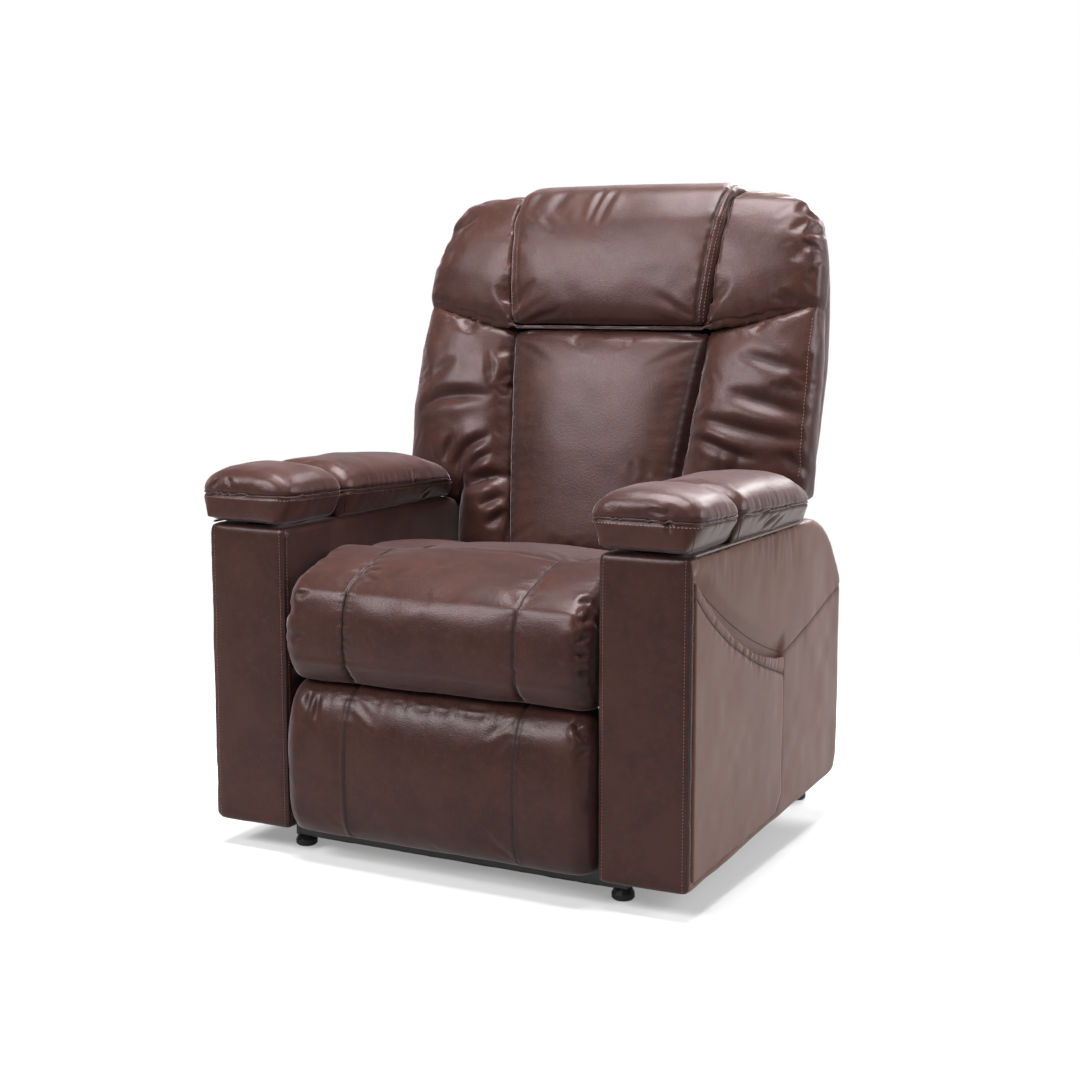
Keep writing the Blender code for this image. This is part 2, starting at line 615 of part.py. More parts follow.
def build_arms(leather, pad_leather, plastic):
    """Arm boxes with their pockets, cup holders, lids and pads."""
    rise = ARM_BOTTOM_REAR - ARM_BOTTOM_FRONT
    slope = [(ARM_SLOPE_START, ARM_TOP), (ARM_SLOPE_START + 0.065, ARM_TOP - 0.009),
             (ARM_LENGTH - 0.028, ARM_SLOPE_END + 0.055), (ARM_LENGTH, ARM_SLOPE_END)]
    rear_curve = []
    for i in range(8):
        t = i / 7
        w = ((1 - t) ** 3, 3 * t * (1 - t) ** 2, 3 * t * t * (1 - t), t ** 3)
        rear_curve.append(tuple(sum(k * p[axis] for k, p in zip(w, slope)) for axis in (0, 1)))
    outline = ([(0.0, ARM_BOTTOM_FRONT), (0.0, ARM_TOP)] + rear_curve
               + [(ARM_LENGTH - 0.002, ARM_BOTTOM_REAR + 0.030),
                  (ARM_LENGTH - 0.014, ARM_BOTTOM_REAR + 0.004), (ARM_LENGTH - 0.030, ARM_BOTTOM_REAR)])
    cup_x = ARM_INNER + ARM_WIDTH / 2
    cup_outer = CUP_RADIUS + CUP_WALL
    cup_floor = ARM_TOP - CUP_DEPTH

    def hem(y):
        t = (y - POCKET_FRONT) / (POCKET_REAR - POCKET_FRONT)
        return mix(POCKET_HEM_FRONT, POCKET_HEM_REAR, t) - POCKET_HEM_SAG * 4 * t * (1 - t)

    def foot(y):
        return ARM_BOTTOM_FRONT + rise * y / ARM_LENGTH + POCKET_FOOT

    def pocket(front, rear, up, down):
        ys = [mix(front, rear, i / 8) for i in range(9)]
        top = ARM_TOP - 2 * ARM_EDGE
        return [(y, min(hem(y) + up, top)) for y in ys] + [(rear, foot(rear) + 0.030 + down),
                                                           (rear - 0.028, foot(rear) + down),
                                                           (front, foot(front) + down)]

    wall = ARM_OUTER - POCKET_DEPTH
    for name, side in SIDES:
        arm = publish("arm_" + name, prism(outline, side * ARM_INNER, side * ARM_OUTER), leather,
                      edge=ARM_EDGE, segments=3)
        cut(arm, turned([(cup_outer + GAP, cup_floor), (cup_outer + GAP, ARM_TOP + 0.02)],
                        side * cup_x, CUP_Y, 24),
            skin([[at(side * x, p) for p in pocket(POCKET_FRONT, POCKET_REAR, up, 0.0)]
                  for x, up in ((wall, POCKET_MOUTH), (ARM_OUTER + 0.001, POCKET_SCOOP))]))
        pouch = publish("pocket_" + name,
                        prism(pocket(POCKET_FRONT + GAP, POCKET_REAR - GAP, 0.0, GAP),
                              side * (wall + GAP), side * (ARM_OUTER + POCKET_PROUD)), leather)
        inside = pocket(POCKET_FRONT + 0.005, POCKET_REAR - 0.005, 0.030, 0.006)
        cut(pouch, prism(inside, side * (wall - 0.01), side * (ARM_OUTER + POCKET_PROUD - POCKET_SKIN)))

        cup = publish("cup_holder_" + name,
                      turned([(cup_outer - 0.003, cup_floor + GAP), (cup_outer, cup_floor + 0.004),
                              (cup_outer, ARM_TOP + GAP), (cup_outer + CUP_FLANGE, ARM_TOP + GAP),
                              (cup_outer + CUP_FLANGE, ARM_TOP + GAP + CUP_FLANGE_T)],
                             side * cup_x, CUP_Y, 24), plastic)
        cut(cup, turned([(CUP_RADIUS - 0.002, cup_floor + 0.004), (CUP_RADIUS, cup_floor + 0.007),
                         (CUP_RADIUS, ARM_TOP + 0.05)], side * cup_x, CUP_Y, 24))

        base = ARM_TOP + GAP
        rows = []
        for y, inset, drop, skew in (
                (PAD_SPLIT + LID_GAP / 2, 0.012, 0.022, 0.0), (PAD_SPLIT + 0.006, 0.004, 0.008, 0.0),
                (PAD_SPLIT + 0.022, 0.0, -0.004, 0.0), (0.300, 0.0, -0.009, 0.0),
                (PAD_REAR_OUTER - 0.060, 0.0, -0.004, 0.5), (PAD_REAR_OUTER - 0.022, 0.003, 0.010, 0.85),
                (PAD_REAR_OUTER, 0.014, 0.030, 1.0)):
            rows.append(pad_ring(side, y, pad_section(y, base, inset, drop),
                                 skew * (PAD_REAR_INNER - PAD_REAR_OUTER)))
        publish("arm_pad_" + name, skin(rows), pad_leather)

        board = base + CUP_FLANGE_T + GAP
        crown = mix(PAD_SEAM_FRONT, PAD_SEAM_REAR, PAD_SPLIT / PAD_REAR_INNER) + PAD_CROWN
        hinge = at(side * cup_x, (PAD_SPLIT, crown - LID_HINGE_DROP))
        base = board + LID_BOARD
        rows = []
        for y, inset, drop in ((-PAD_NOSE + 0.003, 0.040, 0.026), (-PAD_NOSE + 0.008, 0.016, 0.014),
                               (0.004, 0.003, 0.004), (0.026, 0.0, -0.002), (0.090, 0.0, -0.006),
                               (PAD_SPLIT - 0.022, 0.0, 0.0), (PAD_SPLIT - 0.006, 0.004, 0.008),
                               (PAD_SPLIT - LID_GAP / 2, 0.012, 0.022)):
            rows.append(pad_ring(side, y, pad_section(max(y, 0.0), base, inset, drop), 0.0))
        lid = publish("lid_pad_" + name, skin(rows), pad_leather, origin=hinge)
        join(lid, block(side * (ARM_INNER + 0.008), side * (ARM_OUTER - 0.008), 0.006,
                        PAD_SPLIT - 0.008, board, base + 0.002))


def build_footrest(steel, wood, leather):
    """Ottoman and the folding links that swing it out."""
    knee = plus(CRANK_PIVOT, polar(CRANK_LENGTH, CRANK_ANGLE))
    tail = plus(knee, polar(CRANK_TAIL, CRANK_ANGLE))
    toe = plus(knee, polar(LEG_LENGTH, LEG_ANGLE))
    rear_toe = plus(toe, polar(CRANK_TAIL, CRANK_ANGLE))
    guide = plus(knee, GUIDE_FOOT)
    crank_x, leg_x, guide_x, carry_x, hold_x = LINK_X
    board_rear = FOOT_REAR + GAP + FOOT_BOARD_T
    for name, side in SIDES:
        def link(label, x, *discs, origin):
            return publish("%s_%s" % (label, name), prism(around(*discs), side * x,
                                                          side * (x + PLATE_T)), steel,
                           origin=at(0.0, origin))

        crank = link("crank_link", crank_x, (*CRANK_PIVOT, LINK_R), (*tail, 0.0100), origin=CRANK_PIVOT)
        join(crank, rivet(knee, crank_x, leg_x, side))
        join(crank, bar(tail, PIN_R, side * (crank_x + 0.002), side * (carry_x + 0.0006), 12))
        cut(crank, side_hole(CRANK_PIVOT, side))
        leg = link("leg_link", leg_x, (*knee, LINK_R), (*toe, 0.0105), (*guide, 0.0105), origin=knee)
        cut(leg, side_hole(knee, side))
        join(leg, rivet(guide, leg_x, guide_x, side), rivet(toe, leg_x, hold_x, side))
        rod = link("guide_link", guide_x, (*GUIDE_PIVOT, 0.0095), (*guide, 0.0100), origin=GUIDE_PIVOT)
        cut(rod, side_hole(GUIDE_PIVOT, side), side_hole(guide, side, PIN_R + FREE_PIVOT_GUIDE))
        carry = link("carry_link", carry_x, (*tail, 0.0100), (*rear_toe, 0.0095), origin=tail)
        cut(carry, side_hole(tail, side))
        join(carry, rivet(rear_toe, carry_x, hold_x, side))
        hold = publish("footrest_bracket_" + name,
                       prism(around((*toe, 0.0105), (*rear_toe, 0.0105),
                                    (board_rear + GAP + 0.002, toe[1] + 0.028, 0.002),
                                    (board_rear + GAP + 0.002, rear_toe[1] - 0.060, 0.002)),
                             side * hold_x, side * (hold_x + PLATE_T)), steel, origin=at(0.0, toe))
        cut(hold, side_hole(toe, side), side_hole(rear_toe, side))
    publish("footrest_cross_tube", bar(tail, FOOT_TUBE_R, -carry_x + GAP, carry_x - GAP), steel,
            origin=at(0.0, tail))
    publish("footrest_board", block(-FOOT_HALF + 0.012, FOOT_HALF - 0.012, FOOT_REAR + GAP, board_rear,
                                    FOOT_BOTTOM + 0.010, FOOT_TOP - 0.008), wood,
            origin=at(0.0, toe), edge=0.001, segments=1)
    mid = (FOOT_BOTTOM + FOOT_TOP) / 2
    front = curve_through([(FOOT_REAR, FOOT_TOP - 0.006), (FOOT_REAR - 0.012, FOOT_TOP),
                          (0.010, FOOT_TOP - 0.004), (-0.016, FOOT_TOP - 0.026),
                          (FOOT_FRONT, mid + 0.040), (FOOT_FRONT - 0.002, mid - 0.020),
                          (FOOT_FRONT + 0.001, FOOT_BOTTOM + 0.045), (-0.018, FOOT_BOTTOM + 0.008),
                          (0.004, FOOT_BOTTOM - 0.001), (FOOT_REAR - 0.012, FOOT_BOTTOM),
                          (FOOT_REAR, FOOT_BOTTOM + 0.006)], 2)
    rows = []
    for x, d in ((FOOT_HALF, 0.018), (FOOT_HALF - 0.006, 0.007), (FOOT_HALF - 0.018, 0.0)):
        rows.append((x, [(y + d * smooth((FOOT_REAR - 0.01 - y) / 0.03),
                          z - d * smooth((z - mid) / 0.1) + 0.5 * d * smooth((mid - z) / 0.1))
                         for y, z in front]))
    rows += [(-x, ring) for x, ring in rows[::-1]]
    publish("footrest_cushion", skin([[at(x, p) for p in ring] for x, ring in rows]), leather,
            origin=at(0.0, toe))


def back_block(x0, x1, a0, a1, v0, v1):
    """Block square to the leaning back."""
    return skin([[back_point(x, a, v) for a, v in ((a0, v0), (a1, v0), (a1, v1), (a0, v1))]
                 for x in (x0, x1)])


def build_back(steel, wood, leather, cover):
    """Frame, cushions, headrest pad and rear cover of the back."""
    pivot = at(0.0, BACK_PIVOT)
    rear = POST_FRONT_A - POST_D
    post_outer = BACK_PLATE_X + 0.001
    for name, side in SIDES:
        post = publish("back_post_" + name,
                       back_block(side * POST_INNER, side * post_outer, rear, POST_FRONT_A,
                                  POST_BOTTOM, POST_TOP), steel, origin=pivot, edge=0.002, segments=1)
        low = [(*back_side(a, 0.045), 0.008) for a in (rear + 0.010, POST_FRONT_A - 0.010)]
        high = [(*back_side(a, 0.210), 0.008) for a in (rear + 0.010, POST_FRONT_A - 0.010)]
        for outline in (around((*BACK_PIVOT, 0.0165), *low), around(*low, *high)):
            join(post, prism(outline, side * BACK_PLATE_X, side * (BACK_PLATE_X + ARM_T)))
        cut(post, side_hole(BACK_PIVOT, side))
    span = POST_INNER - GAP
    publish("back_top_rail", back_block(-span, span, rear, POST_FRONT_A, POST_TOP - RAIL_HIGH, POST_TOP),
            wood, origin=pivot, edge=0.002, segments=1)
    rail = publish("back_bottom_rail", back_block(-span, span, rear, POST_FRONT_A, *RAIL_LOW), steel,
                   origin=pivot, edge=0.002, segments=1)
    head = BACK_DRIVE[1]
    lever_x = LUG_HALF + LUG_PLAY
    ears = around((*head, EYE_R), *((*back_side(rear + 0.006, v), 0.002) for v in (0.062, 0.092)))
    for way in (-1.0, 1.0):
        x = BACK_DRIVE_X + way * lever_x
        join(rail, prism(ears, x, x + way * CLEVIS_T))
    join(rail, bar(head, PIN_R, BACK_DRIVE_X - lever_x - 0.002, BACK_DRIVE_X + lever_x + 0.002, 12))

    def lumbar_half(v):
        return mix(LUMBAR_HALF_BOTTOM, LUMBAR_HALF_TOP, (v - LUMBAR_BOTTOM) / (LUMBAR_TOP - LUMBAR_BOTTOM))

    rows = []
    for v, d in ((LUMBAR_BOTTOM, 0.018), (LUMBAR_BOTTOM + 0.012, 0.006), (0.17, 0.0), (0.28, -0.004),
                 (0.40, -0.002), (LUMBAR_TOP - 0.014, 0.006), (LUMBAR_TOP, 0.020)):
        half = lumbar_half(v)
        ring = dome(-half, half, -half, half, CUSHION_REAR_A, SEAM_A - 0.004 - d * 0.4,
                    SEAM_A + CROWN - d, 10, 2.8)
        rows.append([back_point(x, a, v) for x, a in ring])
    publish("lumbar_cushion", skin(rows), leather, origin=pivot)

    for name, side in SIDES:
        rows = []
        for v, d, rise in ((LUMBAR_BOTTOM, 0.018, 0.0), (LUMBAR_BOTTOM + 0.012, 0.006, 0.0),
                           (0.150, 0.0, 0.0), (0.190, 0.002, 0.0), (WING_START, 0.010, 0.0),
                           (WING_START + 0.012, 0.004, 0.02), (WING_START + 0.035, 0.0, 0.10),
                           (0.33, -0.004, 0.35), (0.42, -0.002, 0.75), (LUMBAR_TOP - 0.014, 0.006, 1.0),
                           (LUMBAR_TOP, 0.020, 1.0)):
            lo = lumbar_half(v) + 2 * GAP
            flare = smooth((v - WING_START + 0.010) / 0.050)
            outer = WING_HALF - WING_TAPER * smooth((v - WING_START) / (LUMBAR_TOP - WING_START))
            hi = mix(SEAT_HALF - 0.002, outer, flare) - (0.004 if d > 0.005 else 0.0)
            ring = dome(lo, hi, lo, hi, CUSHION_REAR_A + 0.006 * flare, SEAM_A - 0.010 - d * 0.4,
                        SEAM_A + CROWN * 0.7 - d, 9, 2.6)
            rows.append([back_point(side * x, a, v + rise * SHOULDER_RISE * (x - lo)) for x, a in ring])
        publish("side_bolster_" + name, skin(rows), leather, origin=pivot)

    def shoulder_row(v, half, rear_a, seam, top, rise):
        ring = dome(-half, half, -half, half, rear_a, seam, top, 12, 3.6)
        return [back_point(x, a, v + rise * SHOULDER_RISE * max(0.0, abs(x) - LUMBAR_HALF_TOP))
                for x, a in ring]

    low = LUMBAR_TOP + SEAM_GAP
    rear_top = rear - OUTBACK_T + 0.002
    front, base = SEAM_A, CUSHION_REAR_A
    rows = []
    for v, draw_in, rear_a, seam, top, rise in (
            (low, 0.013, base, front - 0.014, front + 0.004, 1.0),
            (low + 0.014, 0.008, base, front - 0.010, front + 0.016, 1.0),
            (0.580, 0.012, base, front - 0.010, front + 0.020, 0.6),
            (POST_TOP - 0.0495, 0.023, base, front - 0.014, front + 0.016, 0.2),
            (POST_TOP + 0.0008, 0.034, base, front - 0.020, front + 0.010, 0.0),
            (POST_TOP + 0.0018, 0.034, rear_top, front - 0.020, front + 0.010, 0.0),
            (BACK_TOP - 0.028, 0.056, rear_top + 0.004, front - 0.028, front + 0.002, 0.0),
            (BACK_TOP - 0.010, 0.088, rear_top + 0.014, front - 0.042, front - 0.014, 0.0),
            (BACK_TOP, 0.128, rear_top + 0.034, front - 0.060, front - 0.036, 0.0)):
        rows.append(shoulder_row(v, WING_HALF - draw_in, rear_a, seam, top, rise))
    shoulder = publish("shoulder_cushion", skin(rows), leather, origin=pivot)

    def head_half(v):
        return mix(HEAD_HALF_BOTTOM, HEAD_HALF_TOP, (v - HEAD_BOTTOM) / (HEAD_TOP - HEAD_BOTTOM))

    seat_top = BACK_TOP - 0.016
    seat_rear = rear_top + 0.012
    flap = POST_TOP + 0.010
    inner = [(seat_rear, flap), (seat_rear, seat_top - 0.012), (seat_rear + 0.012, seat_top),
             (HEAD_SEAT_A - 0.034, seat_top), (HEAD_SEAT_A - 0.012, seat_top - 0.024),
             (HEAD_SEAT_A, seat_top - 0.070), (HEAD_SEAT_A, HEAD_BOTTOM)]

    def outer(d):
        return [(HEAD_FRONT - 0.022 - d, HEAD_BOTTOM + max(d, 0.0) * 0.5),
                (HEAD_FRONT - 0.006 - d, HEAD_BOTTOM + 0.014),
                (HEAD_FRONT - d, 0.570), (HEAD_FRONT + 0.002 - d, 0.640),
                (HEAD_FRONT - 0.010 - d, 0.710), (HEAD_FRONT - 0.034 - d, 0.752 - d * 0.5),
                (0.024, HEAD_TOP - 0.006 - d), (-0.015, HEAD_TOP - d), (-0.052, HEAD_TOP - 0.010 - d),
                (seat_rear - 0.010 + d * 0.5, HEAD_TOP - 0.030 - d * 0.5),
                (seat_rear - 0.016 + d, 0.735), (seat_rear - 0.012 + d, flap)]

    rows = []
    for s, d in ((-1.0, 0.009), (-0.985, 0.003), (-0.95, 0.0), (0.0, -0.002), (0.95, 0.0),
                 (0.985, 0.003), (1.0, 0.009)):
        ring = inner + outer(d)
        rows.append([back_point(s * head_half(v), a, v) for a, v in ring])
    publish("headrest_pad", skin(rows), leather, origin=pivot)
    seat_cut = []
    out = [(0.20, HEAD_BOTTOM), (0.20, 0.90), (-0.20, 0.90), (-0.20, flap)]
    for s in (-1.0, 1.0):
        ring = [(a, v) for a, v in inner] + out
        seat_cut.append([back_point(s * (head_half(v) + GAP), *nudge(a, v, inner, flap))
                         for a, v in ring])
    cut(shoulder, skin(seat_cut))

    panel = rear - GAP
    rows = []
    for v, d in ((OUTBACK_BOTTOM, 0.009), (OUTBACK_BOTTOM + 0.007, 0.001), (WING_START + 0.020, 0.001)):
        half = POST_INNER + TUBE + 0.005
        rows.append([back_point(x, a, v) for x, a in outback_ring(half, d, panel - GAP)])
    tray = []
    for v, half, d in ((WING_START + 0.006, OUTBACK_HALF - 0.010, 0.008),
                       (WING_START + 0.014, OUTBACK_HALF, 0.0),
                       (0.45, OUTBACK_HALF + 0.004, 0.0), (0.60, OUTBACK_HALF - 0.006, 0.0),
                       (POST_TOP - 0.002, OUTBACK_HALF - 0.022, 0.0)):
        ring = outback_ring(half, d, panel)
        tray.append([back_point(x, a, v) for x, a in [(half, CUSHION_REAR_A - GAP)] + ring
                     + [(-half, CUSHION_REAR_A - GAP)]])
    outback = join(publish("rear_cover", skin(tray), cover, origin=pivot), skin(rows))
    inner = OUTBACK_HALF - 0.022 - OUTBACK_WALL
    plates = BACK_PLATE_X + ARM_T + 0.001
    cut(outback, back_block(-plates, plates, panel, SEAM_A, 0.0, BACK_TOP),
        back_block(-inner, inner, panel, SEAM_A, WING_START + 0.014 + OUTBACK_WALL, BACK_TOP))


def outback_ring(half, draw_in, panel):
    """Rear outline of the outside back, from its left edge round to its right edge."""
    depth = panel - OUTBACK_T + draw_in
    side = half - draw_in
    left = [(side, panel), (side - 0.004, panel - OUTBACK_T * 0.5), (side - 0.018, panel - OUTBACK_T * 0.85),
            (side - 0.060, depth)]
    return left + [(-x, a) for x, a in left[::-1]]


def nudge(a, v, inner, flap):
    """Move the headrest's inner line into the shoulder by the seating gap."""
    if (a, v) not in inner:
        return a, v - (GAP if v <= flap else 0.0)
    i = inner.index((a, v))
    q, r = inner[max(i - 1, 0)], inner[min(i + 1, len(inner) - 1)]
    ta, tv = r[0] - q[0], r[1] - q[1]
    length = math.hypot(ta, tv)
    a, v = a + GAP * tv / length, v - GAP * ta / length
    return a, v - (GAP if i in (0, len(inner) - 1) else 0.0)


def build():
    """Build every piece of the chair."""
    clear_scene()
    steel = material("steel_black", (0.03, 0.03, 0.032), 0.45, 0.6)
    chrome = material("chrome", (0.6, 0.6, 0.6), 0.2, 1.0)
    plastic = material("black_plastic", (0.02, 0.02, 0.02), 0.5)
    black = material("glide_plastic", (0.015, 0.015, 0.015), 0.6)
    wood = material("plywood", (0.62, 0.44, 0.27), 0.7)
    leather = material("leather_brown", (0.105, 0.052, 0.042), 0.4)
    pads = material("leather_pad", (0.10, 0.05, 0.04), 0.38)
    cover = material("leather_rear", (0.11, 0.055, 0.045), 0.45)
    fabric = material("skirt_fabric", (0.012, 0.012, 0.012), 0.9)
    build_base(steel, black, fabric)
    build_lift(steel)
    build_seat(steel, wood, leather, plastic)
    build_arms(leather, pads, plastic)
    build_footrest(steel, wood, leather)
    build_back(steel, wood, leather, cover)
    mats = (plastic, chrome)
    plain_eye = (EYE_R, LUG_HALF, PIN_R)
    tube = plus(CRANK_PIVOT, polar(CRANK_LENGTH + CRANK_TAIL, CRANK_ANGLE))
    build_drive("lift", LIFT_DRIVE_X, LIFT_DRIVE, LIFT_DRIVE_SIZES, -1.0, BORE_PLAY, plain_eye, mats)
    build_drive("foot", FOOT_DRIVE_X, (FOOT_DRIVE_BACK, tube), FOOT_DRIVE_SIZES, 1.0, BORE_PLAY,
                (FOOT_EYE_R, FOOT_EYE_HALF, FOOT_TUBE_R), mats)
    build_drive("back", BACK_DRIVE_X, BACK_DRIVE, BACK_DRIVE_SIZES, -1.0, BACK_BORE_PLAY, plain_eye, mats)


build()
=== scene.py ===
"""Looks of the lift recliner: upholstery, stitching, finishes, studio and camera.

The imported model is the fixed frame. Rigid pieces keep their shape and get a finish here. Every
soft solid is replaced by a stuffed piece made from it: remeshed, swollen by pressure, then
seamed, gathered and creased. The arm boxes and their pads are built as cut and sewn covers.
"""
import logging
import math
from dataclasses import dataclass, field
from enum import Enum
from typing import Callable, Iterable, Sequence

import bmesh
import bpy
import numpy as np
from mathutils import Matrix, Vector
from mathutils.bvhtree import BVHTree


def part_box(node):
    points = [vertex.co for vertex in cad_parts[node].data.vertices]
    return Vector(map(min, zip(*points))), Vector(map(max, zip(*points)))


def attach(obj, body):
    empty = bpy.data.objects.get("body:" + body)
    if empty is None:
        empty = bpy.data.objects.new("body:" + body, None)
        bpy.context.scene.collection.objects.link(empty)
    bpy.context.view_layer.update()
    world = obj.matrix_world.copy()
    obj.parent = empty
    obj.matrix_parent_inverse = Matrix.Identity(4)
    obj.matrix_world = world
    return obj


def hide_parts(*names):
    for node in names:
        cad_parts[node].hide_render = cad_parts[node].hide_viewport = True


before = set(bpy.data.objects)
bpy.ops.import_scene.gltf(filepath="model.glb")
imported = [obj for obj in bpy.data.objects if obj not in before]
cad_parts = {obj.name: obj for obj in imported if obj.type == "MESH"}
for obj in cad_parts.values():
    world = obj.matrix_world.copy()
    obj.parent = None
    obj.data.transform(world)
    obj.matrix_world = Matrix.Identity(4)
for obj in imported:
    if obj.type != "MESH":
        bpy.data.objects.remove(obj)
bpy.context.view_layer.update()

LOG = logging.getLogger("recliner")
Array = np.ndarray

ARM_LOW, ARM_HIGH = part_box("arm_left")
ARM_FRONT, ARM_INNER = ARM_LOW.y, ARM_LOW.x  # front and inner faces of the arm boxes
ARM_OUTER, ARM_TOP = ARM_HIGH.x, ARM_HIGH.z
SEAT_SEAM = 0.152  # the two seams of the seat and the footrest, from the middle of the chair
SEAM_HALF = 0.0045  # half the width of the strip that a seam holds down
SEWN = 0.9  # how firmly a seam holds the cover, where 1 is quite fixed
SAME_CORNER = 2e-5  # corners of a CAD solid that are closer than this are one
FADE_SPAN = 5.0  # how many widths away a seam or crease has died out
FIRST_FRAME = 1

Colour = tuple[float, float, float]
Place = tuple[float, float, float]
Fold = tuple[Sequence[Sequence[float]], float, float]  # pixels of the photograph, depth and width
Outline = tuple[tuple[float, float], ...]


class Side(Enum):
    """A side of the chair as the sitter sees it, with the sign of its x."""

    LEFT = 1
    RIGHT = -1

    @property
    def tag(self) -> str:
        """Name ending of the pieces on this side."""
        return self.name.lower()


# ------------------------------------------------------------------ shader building


class Socket:
    """A shader value that turns arithmetic into Math nodes."""

    def __init__(self, tree: "ShaderTree", output: bpy.types.NodeSocket) -> None:
        """Wrap an output socket of a tree."""
        self.tree = tree
        self.output = output

    def _math(self, operation: str, *values: "Socket | float") -> "Socket":
        """Add a Math node and return its result."""
        return self.tree.node("ShaderNodeMath", {"operation": operation}, dict(enumerate(values)))

    def __add__(self, other: "Socket | float") -> "Socket":
        """Sum."""
        return self._math("ADD", self, other)

    __radd__ = __add__

    def __sub__(self, other: "Socket | float") -> "Socket":
        """Difference."""
        return self._math("SUBTRACT", self, other)

    def __rsub__(self, other: float) -> "Socket":
        """Reflected difference."""
        return self._math("SUBTRACT", other, self)

    def __mul__(self, other: "Socket | float") -> "Socket":
        """Product."""
        return self._math("MULTIPLY", self, other)

    __rmul__ = __mul__

    def clamp(self) -> "Socket":
        """Limit to the range from 0 to 1."""
        return self._math("MINIMUM", self._math("MAXIMUM", self, 0.0), 1.0)

    def band(self, low: float, high: float) -> "Socket":
        """Ease from 0 at low to 1 at high."""
        return self.tree.node("ShaderNodeMapRange", {"interpolation_type": "SMOOTHSTEP"},
                              {"Value": self, "From Min": low, "From Max": high})


class ShaderTree:
    """The node tree of one material, with its Principled shader."""

    def __init__(self, name: str) -> None:
        """Start a material.

        Args:
            name: the material's name.
        """
        self.material = bpy.data.materials.new(name)
        self.material.use_nodes = True
        self.nodes = self.material.node_tree.nodes
        self.links = self.material.node_tree.links
        self.shader = self.nodes["Principled BSDF"]

    def node(self, kind: str, settings: dict | None = None, values: dict | None = None,
             output: str | int = 0) -> Socket:
        """Add one node.

        Args:
            kind: Blender's type name of the node.
            settings: properties, set before its sockets.
            values: numbers, colours or Sockets, by socket name or number.
            output: name or number of the output to return.

        Returns:
            The chosen output.
        """
        made = self.nodes.new(kind)
        for key, value in (settings or {}).items():
            if key == "stops":
                ramp = made.color_ramp
                for place, colour in value[len(ramp.elements):]:
                    ramp.elements.new(place)
                for element, (place, colour) in zip(ramp.elements, value):
                    element.position = place
                    element.color = (*colour, 1.0)
            else:
                setattr(made, key, value)
        for key, value in (values or {}).items():
            self.feed(made.inputs[key], value)
        return Socket(self, made.outputs[output])

    def feed(self, socket: bpy.types.NodeSocket, value: "Socket | float | Sequence[float]") -> None:
        """Set a socket's value, or link a Socket to it.

        Args:
            socket: what is fed.
            value: number, colour or Socket.
        """
        if isinstance(value, Socket):
            self.links.new(value.output, socket)
        else:
            socket.default_value = value

    def set(self, **values: "Socket | float | Sequence[float]") -> None:
        """Feed the Principled shader's sockets, with _ for a space in a name."""
        for key, value in values.items():
            self.feed(self.shader.inputs[key.replace("_", " ")], value)

    def place(self) -> Socket:
        """Position on the object, in metres."""
        return self.node("ShaderNodeTexCoord", output="Object")

    def noise(self, place: Socket, scale: float, detail: float = 3.0, roughness: float = 0.5) -> Socket:
        """Cloudy value from 0 to 1, with that many features in a metre."""
        return self.node("ShaderNodeTexNoise", values={"Vector": place, "Scale": scale,
                                                       "Detail": detail, "Roughness": roughness})

    def attribute(self, name: str) -> Socket:
        """Value stored on the mesh under that name."""
        return self.node("ShaderNodeAttribute", {"attribute_name": name}, output="Fac")

    def blend(self, share: "Socket | float", first: "Socket | Sequence[float]",
              second: "Socket | Sequence[float]") -> Socket:
        """Mix two colours.

        Args:
            share: how much of the second there is.
            first: a colour, or a Socket that gives one.
            second: the same.

        Returns:
            The mixed colour.
        """
        made = self.nodes.new("ShaderNodeMix")
        made.data_type = "RGBA"
        for socket, value in zip((made.inputs["Factor"], made.inputs[6], made.inputs[7]),
                                 (share, first, second)):
            self.feed(socket, value if isinstance(value, (Socket, float)) else (*value, 1.0))
        return Socket(self, made.outputs[2])

    def bump(self, height: Socket, distance: float, strength: float = 1.0) -> Socket:
        """Normal of a height that is given in parts of a distance in metres."""
        return self.node("ShaderNodeBump", values={"Height": height, "Distance": distance,
                                                   "Strength": strength})


def scaled(colour: Colour, times: float) -> Colour:
    """Make a colour so many times as light."""
    return tuple(min(1.0, part * times) for part in colour)


